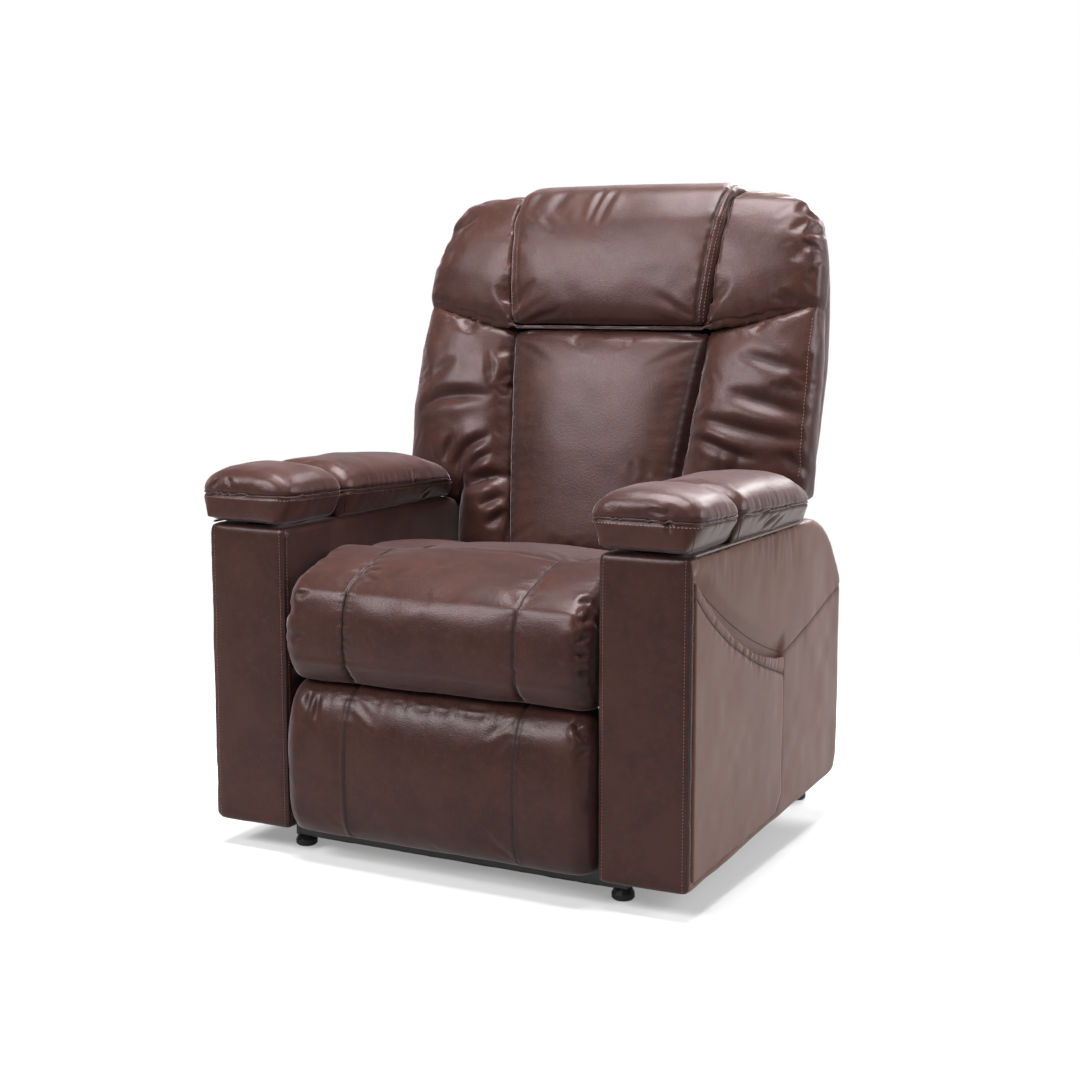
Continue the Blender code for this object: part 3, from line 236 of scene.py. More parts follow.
@dataclass(frozen=True)
class Leather:
    """Coated leather look cover: mottled colour, pebble grain, and shade painted into the colour in seams,
    grooves and folds.
    """

    name: str
    dark: Colour = (0.0245, 0.0090, 0.0064)
    mid: Colour = (0.0360, 0.0132, 0.0090)
    worn: Colour = (0.057, 0.0195, 0.0120)
    gloss_tint: Colour = (1.0, 0.87, 0.92)
    sheen_tint: Colour = (1.0, 0.86, 0.93)
    roughness: float = 0.35
    mirror: float = 0.30
    cloud: float = 11.0
    grain: float = 560.0
    grain_depth: float = 0.00022
    # how dark the painted shade in seams, grooves and folds gets, as a share of the dark colour
    tucked: float = 0.28

    def build(self) -> bpy.types.Material:
        """Build the finish.

        Returns:
            Its material.
        """
        t = ShaderTree(self.name)
        place = t.place()
        clouds = t.noise(place, self.cloud, 4.0, 0.6)
        spots = t.noise(place, self.cloud * 9.0, 3.0, 0.65)
        red = t.noise(place, self.cloud * 2.3, 2.0, 0.5)
        colour = t.blend(clouds.band(0.32, 0.68), self.dark, self.mid)
        colour = t.blend(spots.band(0.45, 0.85) * 0.55, colour, self.worn)
        colour = t.blend(red.band(0.55, 0.80) * 0.35, colour,
                         (self.mid[0] * 1.5, self.mid[1] * 0.95, self.mid[2] * 0.9))
        # painted shade: the colour darkens where the mesh marks seams, grooves and folds
        tuck = t.attribute("tuck")
        colour = t.blend(tuck * 0.75, colour, scaled(self.dark, self.tucked))
        cells = t.node("ShaderNodeTexVoronoi", {"feature": "SMOOTH_F1"},
                       {"Vector": place, "Scale": self.grain, "Smoothness": 0.6}, "Distance")
        fine = t.noise(place, self.grain * 2.1, 2.0, 0.6)
        pores = t.noise(place, self.grain * 0.35, 2.0, 0.5)
        height = fine * 0.35 + pores * 0.5 - cells
        t.set(Base_Color=colour, Normal=t.bump(height, self.grain_depth, 0.85),
              Roughness=spots * 0.10 + clouds * 0.06 + (self.roughness - 0.08) + tuck * 0.2)
        t.set(IOR=1.42, Specular_IOR_Level=self.mirror, Specular_Tint=(*self.gloss_tint, 1.0),
              Sheen_Weight=0.30, Sheen_Roughness=0.35, Sheen_Tint=(*self.sheen_tint, 1.0))
        return t.material


@dataclass(frozen=True)
class Metal:
    """Powder coated or polished steel."""

    name: str
    colour: Colour = (0.030, 0.030, 0.032)
    metallic: float = 0.0
    roughness: float = 0.42
    peel: float = 900.0
    peel_depth: float = 0.00005

    def build(self) -> bpy.types.Material:
        """Build the finish.

        Returns:
            Its material.
        """
        t = ShaderTree(self.name)
        place = t.place()
        scuff = t.noise(place, 28.0, 5.0, 0.7)
        colour = t.blend(scuff.band(0.55, 0.85) * 0.5, self.colour, scaled(self.colour, 1.7))
        t.set(Base_Color=colour, Roughness=scuff * 0.16 + (self.roughness - 0.08),
              Normal=t.bump(t.noise(place, self.peel, 2.0), self.peel_depth), Metallic=self.metallic)
        return t.material


@dataclass(frozen=True)
class Plastic:
    """Moulded plastic with a spark eroded grain."""

    name: str
    colour: Colour = (0.018, 0.018, 0.019)
    roughness: float = 0.5
    grain: float = 1400.0
    grain_depth: float = 0.00008

    def build(self) -> bpy.types.Material:
        """Build the finish.

        Returns:
            Its material.
        """
        t = ShaderTree(self.name)
        place = t.place()
        dust = t.noise(place, 14.0, 4.0, 0.6)
        colour = t.blend(dust.band(0.5, 0.9) * 0.4, self.colour, scaled(self.colour, 2.0))
        t.set(Base_Color=colour, Roughness=dust * 0.14 + (self.roughness - 0.07),
              Normal=t.bump(t.noise(place, self.grain, 1.0), self.grain_depth))
        return t.material


@dataclass(frozen=True)
class Plywood:
    """Sanded plywood: long grain and darker glue lines along its edge."""

    name: str
    light: Colour = (0.56, 0.39, 0.23)
    dark: Colour = (0.40, 0.25, 0.13)
    ply: float = 0.0019
    grain_depth: float = 0.0002

    def build(self) -> bpy.types.Material:
        """Build the finish.

        Returns:
            Its material.
        """
        t = ShaderTree(self.name)
        place = t.place()
        stretched = t.node("ShaderNodeMapping", values={"Vector": place, "Scale": (3.0, 42.0, 42.0)})
        grain = t.noise(stretched, 2.2, 6.0, 0.6)
        plies = t.node("ShaderNodeTexWave", {"bands_direction": "Z"},
                       {"Vector": place, "Scale": 1.0 / (self.ply * 20.0), "Distortion": 0.4})
        colour = t.blend(grain.band(0.3, 0.75), self.light, self.dark)
        colour = t.blend(plies.band(0.75, 1.0) * 0.25, colour, self.dark)
        t.set(Base_Color=colour, Roughness=grain * 0.2 + 0.55, Normal=t.bump(grain, self.grain_depth))
        return t.material


@dataclass(frozen=True)
class Cloth:
    """Woven or felted black cloth."""

    name: str
    colour: Colour = (0.011, 0.011, 0.012)
    thread: float = 950.0
    weave_depth: float = 0.0003

    def build(self) -> bpy.types.Material:
        """Build the finish.

        Returns:
            Its material.
        """
        t = ShaderTree(self.name)
        place = t.place()
        warp, weft = (t.node("ShaderNodeTexWave", {"bands_direction": way},
                             {"Vector": place, "Scale": self.thread / 20.0}) for way in "XZ")
        lint = t.noise(place, 160.0, 4.0, 0.7)
        colour = t.blend(lint.band(0.4, 0.9) * 0.6, self.colour, scaled(self.colour, 2.4))
        t.set(Base_Color=colour, Roughness=lint * 0.1 + 0.85,
              Normal=t.bump(warp * weft + lint * 0.5, self.weave_depth))
        t.set(Sheen_Weight=0.25, Sheen_Roughness=0.5)
        return t.material


@dataclass(frozen=True)
class Thread:
    """Sewing thread with its twist."""

    name: str
    colour: Colour = (0.120, 0.058, 0.046)
    twist: float = 2600.0
    twist_depth: float = 0.0002

    def build(self) -> bpy.types.Material:
        """Build the finish.

        Returns:
            Its material.
        """
        t = ShaderTree(self.name)
        twist = t.noise(t.place(), self.twist, 1.0)
        t.set(Base_Color=t.blend(twist, self.colour, scaled(self.colour, 1.8)),
              Roughness=twist * 0.1 + 0.5, Normal=t.bump(twist, self.twist_depth))
        return t.material


# ------------------------------------------------------------------ mesh work


def rows_of(items: bpy.types.bpy_prop_collection, key: str, width: int = 3, kind: type = float) -> Array:
    """Read one property of every item.

    Args:
        items: vertices, faces or edges of a mesh.
        key: name of the property.
        width: how many numbers it holds.
        kind: of number.

    Returns:
        A row for each item.
    """
    flat = np.empty(len(items) * width, dtype=kind)
    items.foreach_get(key, flat)
    return flat.reshape(-1, width)


def points_of(mesh: bpy.types.Mesh) -> Array:
    """Vertex places of a mesh, one row each."""
    return rows_of(mesh.vertices, "co")


def normals_of(mesh: bpy.types.Mesh) -> Array:
    """Vertex normals of a mesh, one row each."""
    return rows_of(mesh.vertex_normals, "vector")


def move_points(mesh: bpy.types.Mesh, points: Array) -> None:
    """Write vertex places back."""
    mesh.vertices.foreach_set("co", points.ravel())
    mesh.update()


def linked(name: str, data: bpy.types.ID) -> bpy.types.Object:
    """Put a mesh, light or camera in the scene as an object at the origin.

    Args:
        name: the object's name.
        data: what it shows.

    Returns:
        The object.
    """
    made = bpy.data.objects.new(name, data)
    bpy.context.scene.collection.objects.link(made)
    return made


def applied(piece: bpy.types.Object) -> None:
    """Turn a piece's modifiers into its mesh.

    Args:
        piece: loses its modifiers and gets the mesh that they make.
    """
    graph = bpy.context.evaluated_depsgraph_get()
    mesh = bpy.data.meshes.new_from_object(piece.evaluated_get(graph), depsgraph=graph)
    piece.modifiers.clear()
    piece.data = mesh


def finish(piece: bpy.types.Object, material: bpy.types.Material) -> None:
    """Give the whole of a piece one material.

    Args:
        piece: what gets it.
        material: the finish.
    """
    piece.data.materials.clear()
    piece.data.materials.append(material)
    piece.data.polygons.foreach_set("material_index", np.zeros(len(piece.data.polygons), dtype=np.int32))


def copied(node: str, name: str) -> bpy.types.Object:
    """Copy a CAD solid, with its doubled corners merged.

    Args:
        node: the solid's name in the frame.
        name: the copy's name.

    Returns:
        The copy, a closed mesh without materials.
    """
    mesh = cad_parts[node].data.copy()
    work = bmesh.new()
    work.from_mesh(mesh)
    bmesh.ops.remove_doubles(work, verts=work.verts, dist=SAME_CORNER)
    bmesh.ops.recalc_face_normals(work, faces=work.faces)
    work.to_mesh(mesh)
    work.free()
    mesh.materials.clear()
    return linked(name, mesh)


def remeshed(piece: bpy.types.Object, voxel: float) -> None:
    """Give a piece an even skin.

    Args:
        piece: closed mesh.
        voxel: size of the skin's squares.
    """
    modifier = piece.modifiers.new("even", "REMESH")
    modifier.mode = "VOXEL"
    modifier.voxel_size = voxel
    applied(piece)


def refined(piece: bpy.types.Object, levels: int) -> None:
    """Subdivide a piece smoothly.

    Args:
        piece: what is made finer.
        levels: how many times each face is split in four.
    """
    modifier = piece.modifiers.new("fine", "SUBSURF")
    modifier.levels = modifier.render_levels = levels
    applied(piece)


def relaxed(mesh: bpy.types.Mesh, rounds: int, strength: float | Array = 0.5) -> None:
    """Smooth a mesh by moving each vertex towards its neighbours.

    Args:
        mesh: what is smoothed.
        rounds: how many times.
        strength: share of the way, for all or for each vertex.
    """
    points, edges = points_of(mesh), rows_of(mesh.edges, "vertices", 2, np.int32)
    first, second = edges.T
    count = np.bincount(edges.ravel(), minlength=len(points))[:, None]
    share = np.asarray(strength, dtype=float).reshape(-1, 1)
    for _ in range(rounds):
        total = np.stack([np.bincount(first, points[second, k], len(points))
                          + np.bincount(second, points[first, k], len(points)) for k in range(3)], axis=1)
        points += share * (total / count - points)
    move_points(mesh, points)


def lattice(cells: Array, seed: int) -> Array:
    """Mix the numbers of a cell into one that looks random but is always the same.

    Args:
        cells: rows of three whole numbers.
        seed: which set of values.

    Returns:
        A value from -1 to 1 for each cell.
    """
    mixed = cells[:, 0] * 73856093 ^ cells[:, 1] * 19349663 ^ cells[:, 2] * 83492791 ^ seed * 2654435
    mixed = ((mixed ^ (mixed >> 13)) * 1274126177) & 0x7FFFFFFF
    mixed = ((mixed ^ (mixed >> 15)) * 668265263) & 0x7FFFFFFF
    return mixed / 0x3FFFFFFF - 1.0


def clouds(places: Array, size: float, seed: int = 0) -> Array:
    """Smooth noise.

    Args:
        places: where it is read, rows of three numbers.
        size: how large its features are.
        seed: which noise.

    Returns:
        A value from -1 to 1 for each place.
    """
    scaled = places / size
    base = np.floor(scaled).astype(np.int64)
    part = scaled - base
    ease = part * part * part * (part * (part * 6 - 15) + 10)
    total = np.zeros(len(places))
    for corner in range(8):
        step = np.array([(corner >> k) & 1 for k in range(3)])
        total += np.prod(np.where(step, ease, 1 - ease), axis=1) * lattice(base + step, seed)
    return total


def ramp(value: Array, low: float, high: float) -> Array:
    """Rise evenly from 0 at low to 1 at high."""
    return np.clip((value - low) / (high - low), 0.0, 1.0)


def eased(share: Array) -> Array:
    """Round off both ends of a share that runs from 0 to 1."""
    return share * share * (3 - 2 * share)


def curve_through(guides: Sequence[Sequence[float]], spacing: float = 0.006) -> Array:
    """Smooth line through guide points.

    Args:
        guides: rows of three numbers.
        spacing: about how far apart its points are.

    Returns:
        The points of the line.
    """
    ends = np.asarray(guides, dtype=float)
    padded = np.vstack([2 * ends[0] - ends[1], ends, 2 * ends[-1] - ends[-2]])
    rows = []
    for a, b, c, d in zip(padded[:-3], padded[1:-2], padded[2:-1], padded[3:]):
        count = max(2, int(np.linalg.norm(c - b) / spacing))
        t = (np.arange(count) / count)[:, None]
        rows.append(0.5 * (2 * b + (c - a) * t + (2 * a - 5 * b + 4 * c - d) * t ** 2
                           + (3 * b - a - 3 * c + d) * t ** 3))
    return np.vstack(rows + [ends[-1:]])


class Cover:
    """The outer surface of a piece, to lay lines on."""

    def __init__(self, piece: bpy.types.Object) -> None:
        """Index the piece's faces."""
        mesh = piece.data
        self.tree = BVHTree.FromPolygons([v.co for v in mesh.vertices], [p.vertices for p in mesh.polygons])

    def nearest(self, place: Sequence[float]) -> tuple[Vector, Vector]:
        """Nearest point of the surface and its normal."""
        spot, normal, _, _ = self.tree.find_nearest(Vector(place))
        return spot, normal

    def laid(self, line: Array, lift: float = 0.0) -> Array:
        """Lay a line on the surface.

        Args:
            line: points near the surface.
            lift: how far it stands off the surface.

        Returns:
            The points on the surface.
        """
        return np.array([spot + normal * lift for spot, normal in map(self.nearest, line)])

    def seen(self, starts: Iterable[Sequence[float]], aims: Iterable[Sequence[float]]) -> Array:
        """Look at the surface from many places.

        Args:
            starts: where each look starts.
            aims: what each look is turned to.

        Returns:
            The first point of the surface that each look meets; a look that misses has none.
        """
        rows = []
        for start, aim in zip(starts, aims):
            spot, _, _, _ = self.tree.ray_cast(Vector(start), (Vector(aim) - Vector(start)).normalized())
            if spot is not None:
                rows.append(spot)
        return np.array(rows)


@dataclass
class Line:
    """A line on a surface, and how far other points are from it."""

    points: Array

    def near(self, places: Array, span: float) -> Array:
        """Numbers of the places inside the line's box, grown by that span."""
        low, high = self.points.min(axis=0) - span, self.points.max(axis=0) + span
        return np.nonzero(((places > low) & (places < high)).all(axis=1))[0]

    def measure(self, where: Array) -> tuple[Array, Array]:
        """Measure places from the line.

        Args:
            where: the places.

        Returns:
            Each place's distance from the line, and how far along the line its nearest point is.
        """
        best, along, run = np.full(len(where), np.inf), np.zeros(len(where)), 0.0
        for a, b in zip(self.points[:-1], self.points[1:]):
            edge = b - a
            length = max(float(np.linalg.norm(edge)), 1e-9)
            share = np.clip((where - a) @ edge / length ** 2, 0.0, 1.0)
            gap = np.linalg.norm(where - a - share[:, None] * edge, axis=1)
            closer = gap < best
            best[closer] = gap[closer]
            along[closer] = run + share[closer] * length
            run += length
        return best, along

    @property
    def length(self) -> float:
        """Length of the line."""
        return float(np.linalg.norm(np.diff(self.points, axis=0), axis=1).sum())


@dataclass
class Seam:
    """A sewn line: a groove with the cloth gathered beside it, and shade painted into the groove and between
    the gathers.
    """

    line: Line
    depth: float = 0.005
    width: float = 0.0045
    pucker: float = 0.0016
    reach: float = 0.030
    pitch: float = 0.013
    roll: float = 0.0
    roll_reach: float = 0.030
    # dark: how much shade is painted into the groove
    dark: float = 1.0
    seed: int = 1

    def shape(self, places: Array) -> tuple[Array, Array, Array]:
        """Shape the surface near it.

        Args:
            places: points of the surface.

        Returns:
            The numbers of the points that it changes, how far each one rises and how tucked in it is.
        """
        widest = max(self.reach, self.width, self.roll_reach if self.roll else 0.0)
        chosen = self.line.near(places, FADE_SPAN * widest)
        gap, along = self.line.measure(places[chosen])
        groove = np.exp(-(gap / self.width) ** 2)
        strip = np.stack([along, gap * 0.22, np.full(len(gap), self.seed * 3.1)], axis=1)
        folds = clouds(strip, self.pitch, self.seed) + 0.6 * clouds(strip, self.pitch * 0.53, self.seed + 7)
        strength = 0.55 + 0.45 * clouds(strip, self.pitch * 6.0, self.seed + 13)
        fade = np.exp(-(gap / self.reach) ** 1.3) * (1 - 0.6 * groove)
        height = self.pucker * strength * (folds - 0.4 * np.abs(folds)) * fade - self.depth * groove
        if self.roll:
            height -= self.roll * np.exp(-gap / self.roll_reach)
        # painted shade: dark in the groove and in the valleys between the gathers
        tuck = self.dark * groove + 0.25 * np.clip(-folds, 0, 1) * fade * np.clip(strength, 0, 1)
        return chosen, height, tuck


@dataclass
class Crease:
    """A soft fold: a valley with a raised lip on each side that fades out at its ends, with shade painted
    into the valley.
    """

    line: Line
    depth: float = 0.004
    width: float = 0.006
    lip: float = 0.42
    # dark: how much shade is painted into the valley
    dark: float = 0.5

    def shape(self, places: Array) -> tuple[Array, Array, Array]:
        """Shape the surface near it.

        Args:
            places: points of the surface.

        Returns:
            The numbers of the points that it changes, how far each one rises and how tucked in it is.
        """
        chosen = self.line.near(places, FADE_SPAN * self.width)
        gap, along = self.line.measure(places[chosen])
        fade = np.clip(np.sin(np.pi * along / self.line.length), 0, 1)
        width = self.width * (0.75 + 0.35 * fade)
        valley = np.exp(-(gap / width) ** 2) * fade
        lips = np.exp(-((gap - 2.1 * width) / (1.3 * width)) ** 2) * fade
        # painted shade in the valley
        return chosen, self.depth * (self.lip * lips - valley), self.dark * valley


@dataclass
class Billow:
    """Uneven stuffing: slow rise and fall over the whole piece."""

    amount: float = 0.002
    size: float = 0.09
    seed: int = 5

    def shape(self, places: Array) -> tuple[Array, Array, Array]:
        """Shape the surface near it.

        Args:
            places: points of the surface.

        Returns:
            The numbers of the points that it changes, how far each one rises and how much shade is painted
            on it.
        """
        height = self.amount * (clouds(places, self.size, self.seed)
                                + 0.35 * clouds(places, self.size * 0.35, self.seed + 1))
        return np.arange(len(places)), height, np.zeros(len(places))


Detail = Seam | Crease | Billow


def pressed(piece: bpy.types.Object, way: Place, amount: float, beyond: float = -1.0) -> None:
    """Swell the faces of a piece that look one way, so that they meet the neighbour.

    Args:
        piece: what swells.
        way: direction in which it swells.
        amount: how far.
        beyond: only places further than this from the middle of the chair swell.
    """
    points, normals = points_of(piece.data), normals_of(piece.data)
    share = np.clip(1.6 * normals @ np.array(way) - 0.2, 0.0, 1.0)
    share *= ramp(np.abs(points[:, 0]), beyond, beyond + 0.02)
    move_points(piece.data, points + share[:, None] * np.array(way) * amount)


def store_tuck(mesh: bpy.types.Mesh, tuck: Array) -> None:
    """Store how much shade is painted on each vertex, from 0 to 1, where the leather looks for it."""
    stored = mesh.attributes.new("tuck", "FLOAT", "POINT")
    stored.data.foreach_set("value", np.clip(tuck, 0.0, 1.0).astype(np.float32))


def dressed(piece: bpy.types.Object, details: Sequence[Detail]) -> None:
    """Press seams, creases and stuffing into a piece, and store how much shade is painted on each point.

    Args:
        piece: the fine mesh that is shaped.
        details: what is pressed in.
    """
    mesh = piece.data
    points, normals = points_of(mesh), normals_of(mesh)
    height, tuck = np.zeros(len(points)), np.zeros(len(points))
    for detail in details:
        chosen, change, dark = detail.shape(points)
        height[chosen] += change
        tuck[chosen] = np.maximum(tuck[chosen], dark)
    move_points(mesh, points + normals * height[:, None])
    store_tuck(mesh, tuck)
    mesh.polygons.foreach_set("use_smooth", np.ones(len(mesh.polygons), dtype=bool))


def stuffed(piece: bpy.types.Object, held: Array, pressure: float, cap: float,
            frames: int = 20) -> None:
    """Blow a piece up like a filled cover.

    Args:
        piece: closed skin.
        held: how firmly each vertex is sewn down, from 0 to 1.
        pressure: filling pressure.
        cap: farthest that a vertex may move.
        frames: steps of the simulation.
    """
    scene = bpy.context.scene
    before = points_of(piece.data)
    group = piece.vertex_groups.new(name="held")
    for level in np.unique(np.round(held, 1)):
        if level > 0:
            group.add(np.nonzero(np.round(held, 1) == level)[0].tolist(), float(level), "REPLACE")
    cloth = piece.modifiers.new("stuffing", "CLOTH")
    cloth.point_cache.frame_start, cloth.point_cache.frame_end = FIRST_FRAME, frames
    settings = cloth.settings
    settings.quality = 5
    settings.mass = 0.3
    settings.tension_stiffness = settings.compression_stiffness = 24.0
    settings.shear_stiffness = 8.0
    settings.bending_stiffness = 2.0
    settings.vertex_group_mass = "held"
    settings.use_pressure = True
    settings.uniform_pressure_force = pressure
    settings.effector_weights.gravity = 0.0
    for step in range(FIRST_FRAME, frames + 1):
        scene.frame_set(step)
    applied(piece)
    piece.vertex_groups.clear()
    shift = points_of(piece.data) - before
    far = np.linalg.norm(shift, axis=1)
    shift *= (cap * np.tanh(far / cap) / np.maximum(far, 1e-9))[:, None]
    move_points(piece.data, before + shift)
    scene.frame_set(FIRST_FRAME)


# ------------------------------------------------------------------ stitches and cords


class NodeTree:
    """A Geometry Nodes tree for things that repeat or follow a line."""

    def __init__(self, name: str, inputs: dict[str, tuple[str, float]]) -> None:
        """Start a tree.

        Args:
            name: what it makes.
            inputs: its sizes, as name: (socket type, default).
        """
        self.tree = bpy.data.node_groups.new(name, "GeometryNodeTree")
        face = self.tree.interface
        face.new_socket("Path", in_out="INPUT", socket_type="NodeSocketGeometry")
        face.new_socket("Result", in_out="OUTPUT", socket_type="NodeSocketGeometry")
        self.keys = {}
        for key, (kind, value) in inputs.items():
            socket = face.new_socket(key, in_out="INPUT", socket_type=kind)
            if kind != "NodeSocketMaterial":
                socket.default_value = value
            self.keys[key] = socket.identifier
        self.start = self.tree.nodes.new("NodeGroupInput")
        self.end = self.tree.nodes.new("NodeGroupOutput")

    def add(self, kind: str, settings: dict | None = None, **links: object) -> bpy.types.Node:
        """Add a node.

        Args:
            kind: Blender's type name of the node.
            settings: its properties.
            links: by socket name with _ for a space, a node, a (node, output) pair or a value.

        Returns:
            The node.
        """
        made = self.tree.nodes.new(kind)
        for key, value in (settings or {}).items():
            setattr(made, key, value)
        for key, value in links.items():
            self.feed(made.inputs[key.replace("_", " ")], value)
        return made

    def feed(self, socket: bpy.types.NodeSocket, value: object) -> None:
        """Link something to a socket, or set its value.

        Args:
            socket: what is fed.
            value: a node, a (node, output) pair or a value.
        """
        if isinstance(value, bpy.types.Node):
            self.tree.links.new(value.outputs[0], socket)
        elif isinstance(value, tuple) and isinstance(value[0], bpy.types.Node):
            self.tree.links.new(value[0].outputs[value[1]], socket)
        else:
            socket.default_value = value

    def math(self, operation: str, *values: object) -> bpy.types.Node:
        """Add a Math node.

        Args:
            operation: what it works out.
            values: nodes, (node, output) pairs or numbers.

        Returns:
            The node.
        """
        made = self.add("ShaderNodeMath", {"operation": operation})
        for socket, value in zip(made.inputs, values):
            self.feed(socket, value)
        return made

    def close(self, last: bpy.types.Node) -> None:
        """End the tree in real geometry with its material.

        Args:
            last: node that gives the geometry.
        """
        real = self.add("GeometryNodeRealizeInstances", Geometry=last)
        finish = self.add("GeometryNodeSetMaterial", Geometry=real, Material=(self.start, "Material"))
        self.tree.links.new(finish.outputs[0], self.end.inputs[0])

    def run(self, name: str, guide: bpy.types.Mesh, values: dict[str, object]) -> bpy.types.Object:
        """Run the tree.

        Args:
            name: the piece's name.
            guide: mesh whose edges the tree follows.
            values: the tree's sizes and its material, by name.

        Returns:
            The plain mesh that it makes.
        """
        piece = linked(name, guide)
        modifier = piece.modifiers.new("made", "NODES")
        modifier.node_group = self.tree
        for key, value in values.items():
            modifier[self.keys[key]] = value
        applied(piece)
        finish(piece, values["Material"])
        return piece


def line_mesh(lines: Sequence[Array]) -> bpy.types.Mesh:
    """Make a mesh of bare edges.

    Args:
        lines: points of each line.

    Returns:
        The mesh, with an edge between each two points that follow each other.
    """
    mesh = bpy.data.meshes.new("guide")
    points, edges = [], []
    for line in lines:
        edges += [(len(points) + i, len(points) + i + 1) for i in range(len(line) - 1)]
        points += [tuple(p) for p in line]
    mesh.from_pydata(points, edges, [])
    return mesh


def stitch_tree() -> NodeTree:
    """Build the tree that lays thread stitches one after the other along a line.

    Returns:
        The tree.
    """
    tree = NodeTree("stitches", {"Pitch": ("NodeSocketFloat", 0.006),
                                 "Length": ("NodeSocketFloat", 0.0042),
                                 "Thickness": ("NodeSocketFloat", 0.0011),
                                 "Tilt": ("NodeSocketFloat", 0.12),
                                 "Seed": ("NodeSocketInt", 3), "Material": ("NodeSocketMaterial", 0)})
    start = tree.start
    curve = tree.add("GeometryNodeMeshToCurve", Mesh=(start, "Path"))
    spaced = tree.add("GeometryNodeResampleCurve", {"mode": "LENGTH"}, Curve=curve, Length=(start, "Pitch"))
    tangent = tree.add("GeometryNodeInputTangent")
    along = tree.add("FunctionNodeAlignRotationToVector", {"axis": "X"}, Vector=tangent)
    spread = tree.add("FunctionNodeRandomValue", {"data_type": "FLOAT"}, Seed=(start, "Seed"))
    value = next(i for i, socket in enumerate(spread.outputs) if socket.enabled)
    centred = tree.math("SUBTRACT", (spread, value), 0.5)
    angle = tree.add("ShaderNodeCombineXYZ", Z=tree.math("MULTIPLY", centred, (start, "Tilt")))
    turn = tree.add("FunctionNodeEulerToRotation", Euler=angle)
    turned = tree.add("FunctionNodeRotateRotation", {"rotation_space": "LOCAL"}, Rotation=along,
                      Rotate_By=turn)
    grain = tree.add("GeometryNodeMeshUVSphere", Segments=6, Rings=4, Radius=0.5)
    smooth = tree.add("GeometryNodeSetShadeSmooth", Geometry=grain)
    size = tree.add("ShaderNodeCombineXYZ", X=(start, "Length"), Y=(start, "Thickness"),
                    Z=(start, "Thickness"))
    tree.close(tree.add("GeometryNodeInstanceOnPoints", Points=spaced, Instance=smooth, Rotation=turned,
                        Scale=size))
    return tree


def welt_tree() -> NodeTree:
    """Build the tree that runs a round cord along a line.

    Returns:
        The tree.
    """
    tree = NodeTree("welt", {"Radius": ("NodeSocketFloat", 0.0022), "Material": ("NodeSocketMaterial", 0)})
    curve = tree.add("GeometryNodeMeshToCurve", Mesh=(tree.start, "Path"))
    section = tree.add("GeometryNodeCurvePrimitiveCircle", Radius=(tree.start, "Radius"), Resolution=10)
    tube = tree.add("GeometryNodeCurveToMesh", Curve=curve, Profile_Curve=section, Fill_Caps=True)
    tree.close(tree.add("GeometryNodeSetShadeSmooth", Geometry=tube))
    return tree


# ------------------------------------------------------------------ finishes and sewing kit


class Finish(Enum):
    """The finishes of this chair."""

    FRONT = Leather("leather_front")
    PAD = Leather("leather_pad_cover", dark=(0.032, 0.0122, 0.0090), mid=(0.046, 0.0170, 0.0122),
                  roughness=0.34)
    # lit copy of the front leather, several times lighter: painted light for the brightly lit side faces
    SIDE = Leather("leather_side", dark=(0.092, 0.0470, 0.0325), mid=(0.112, 0.0570, 0.0395),
                   worn=(0.130, 0.0670, 0.0470), roughness=0.43, cloud=6.0, mirror=0.20)
    REAR = Leather("leather_rear_cover", dark=(0.040, 0.0190, 0.0150), mid=(0.056, 0.0260, 0.0205),
                   roughness=0.43)
    STEEL = Metal("steel_coat")
    CHROME = Metal("rod_chrome", colour=(0.62, 0.63, 0.65), metallic=1.0, roughness=0.17,
                   peel_depth=0.00001)
    PLASTIC = Plastic("housing_plastic")
    GLIDE = Plastic("glide_plastic_black", colour=(0.012, 0.012, 0.013), roughness=0.42)
    WOOD = Plywood("plywood_board")
    SKIRT = Cloth("sleeve_cloth")
    THREAD = Thread("thread_brown")
    # near-black cord laid in seam grooves: painted shade for the shadowed seam line
    DARK_THREAD = Thread("thread_dark", colour=(0.0050, 0.0026, 0.0022))
    LIGHT_THREAD = Thread("thread_light", colour=(0.17, 0.105, 0.080))
    TAPE = Plastic("edge_tape", colour=(0.15, 0.11, 0.095), roughness=0.55)


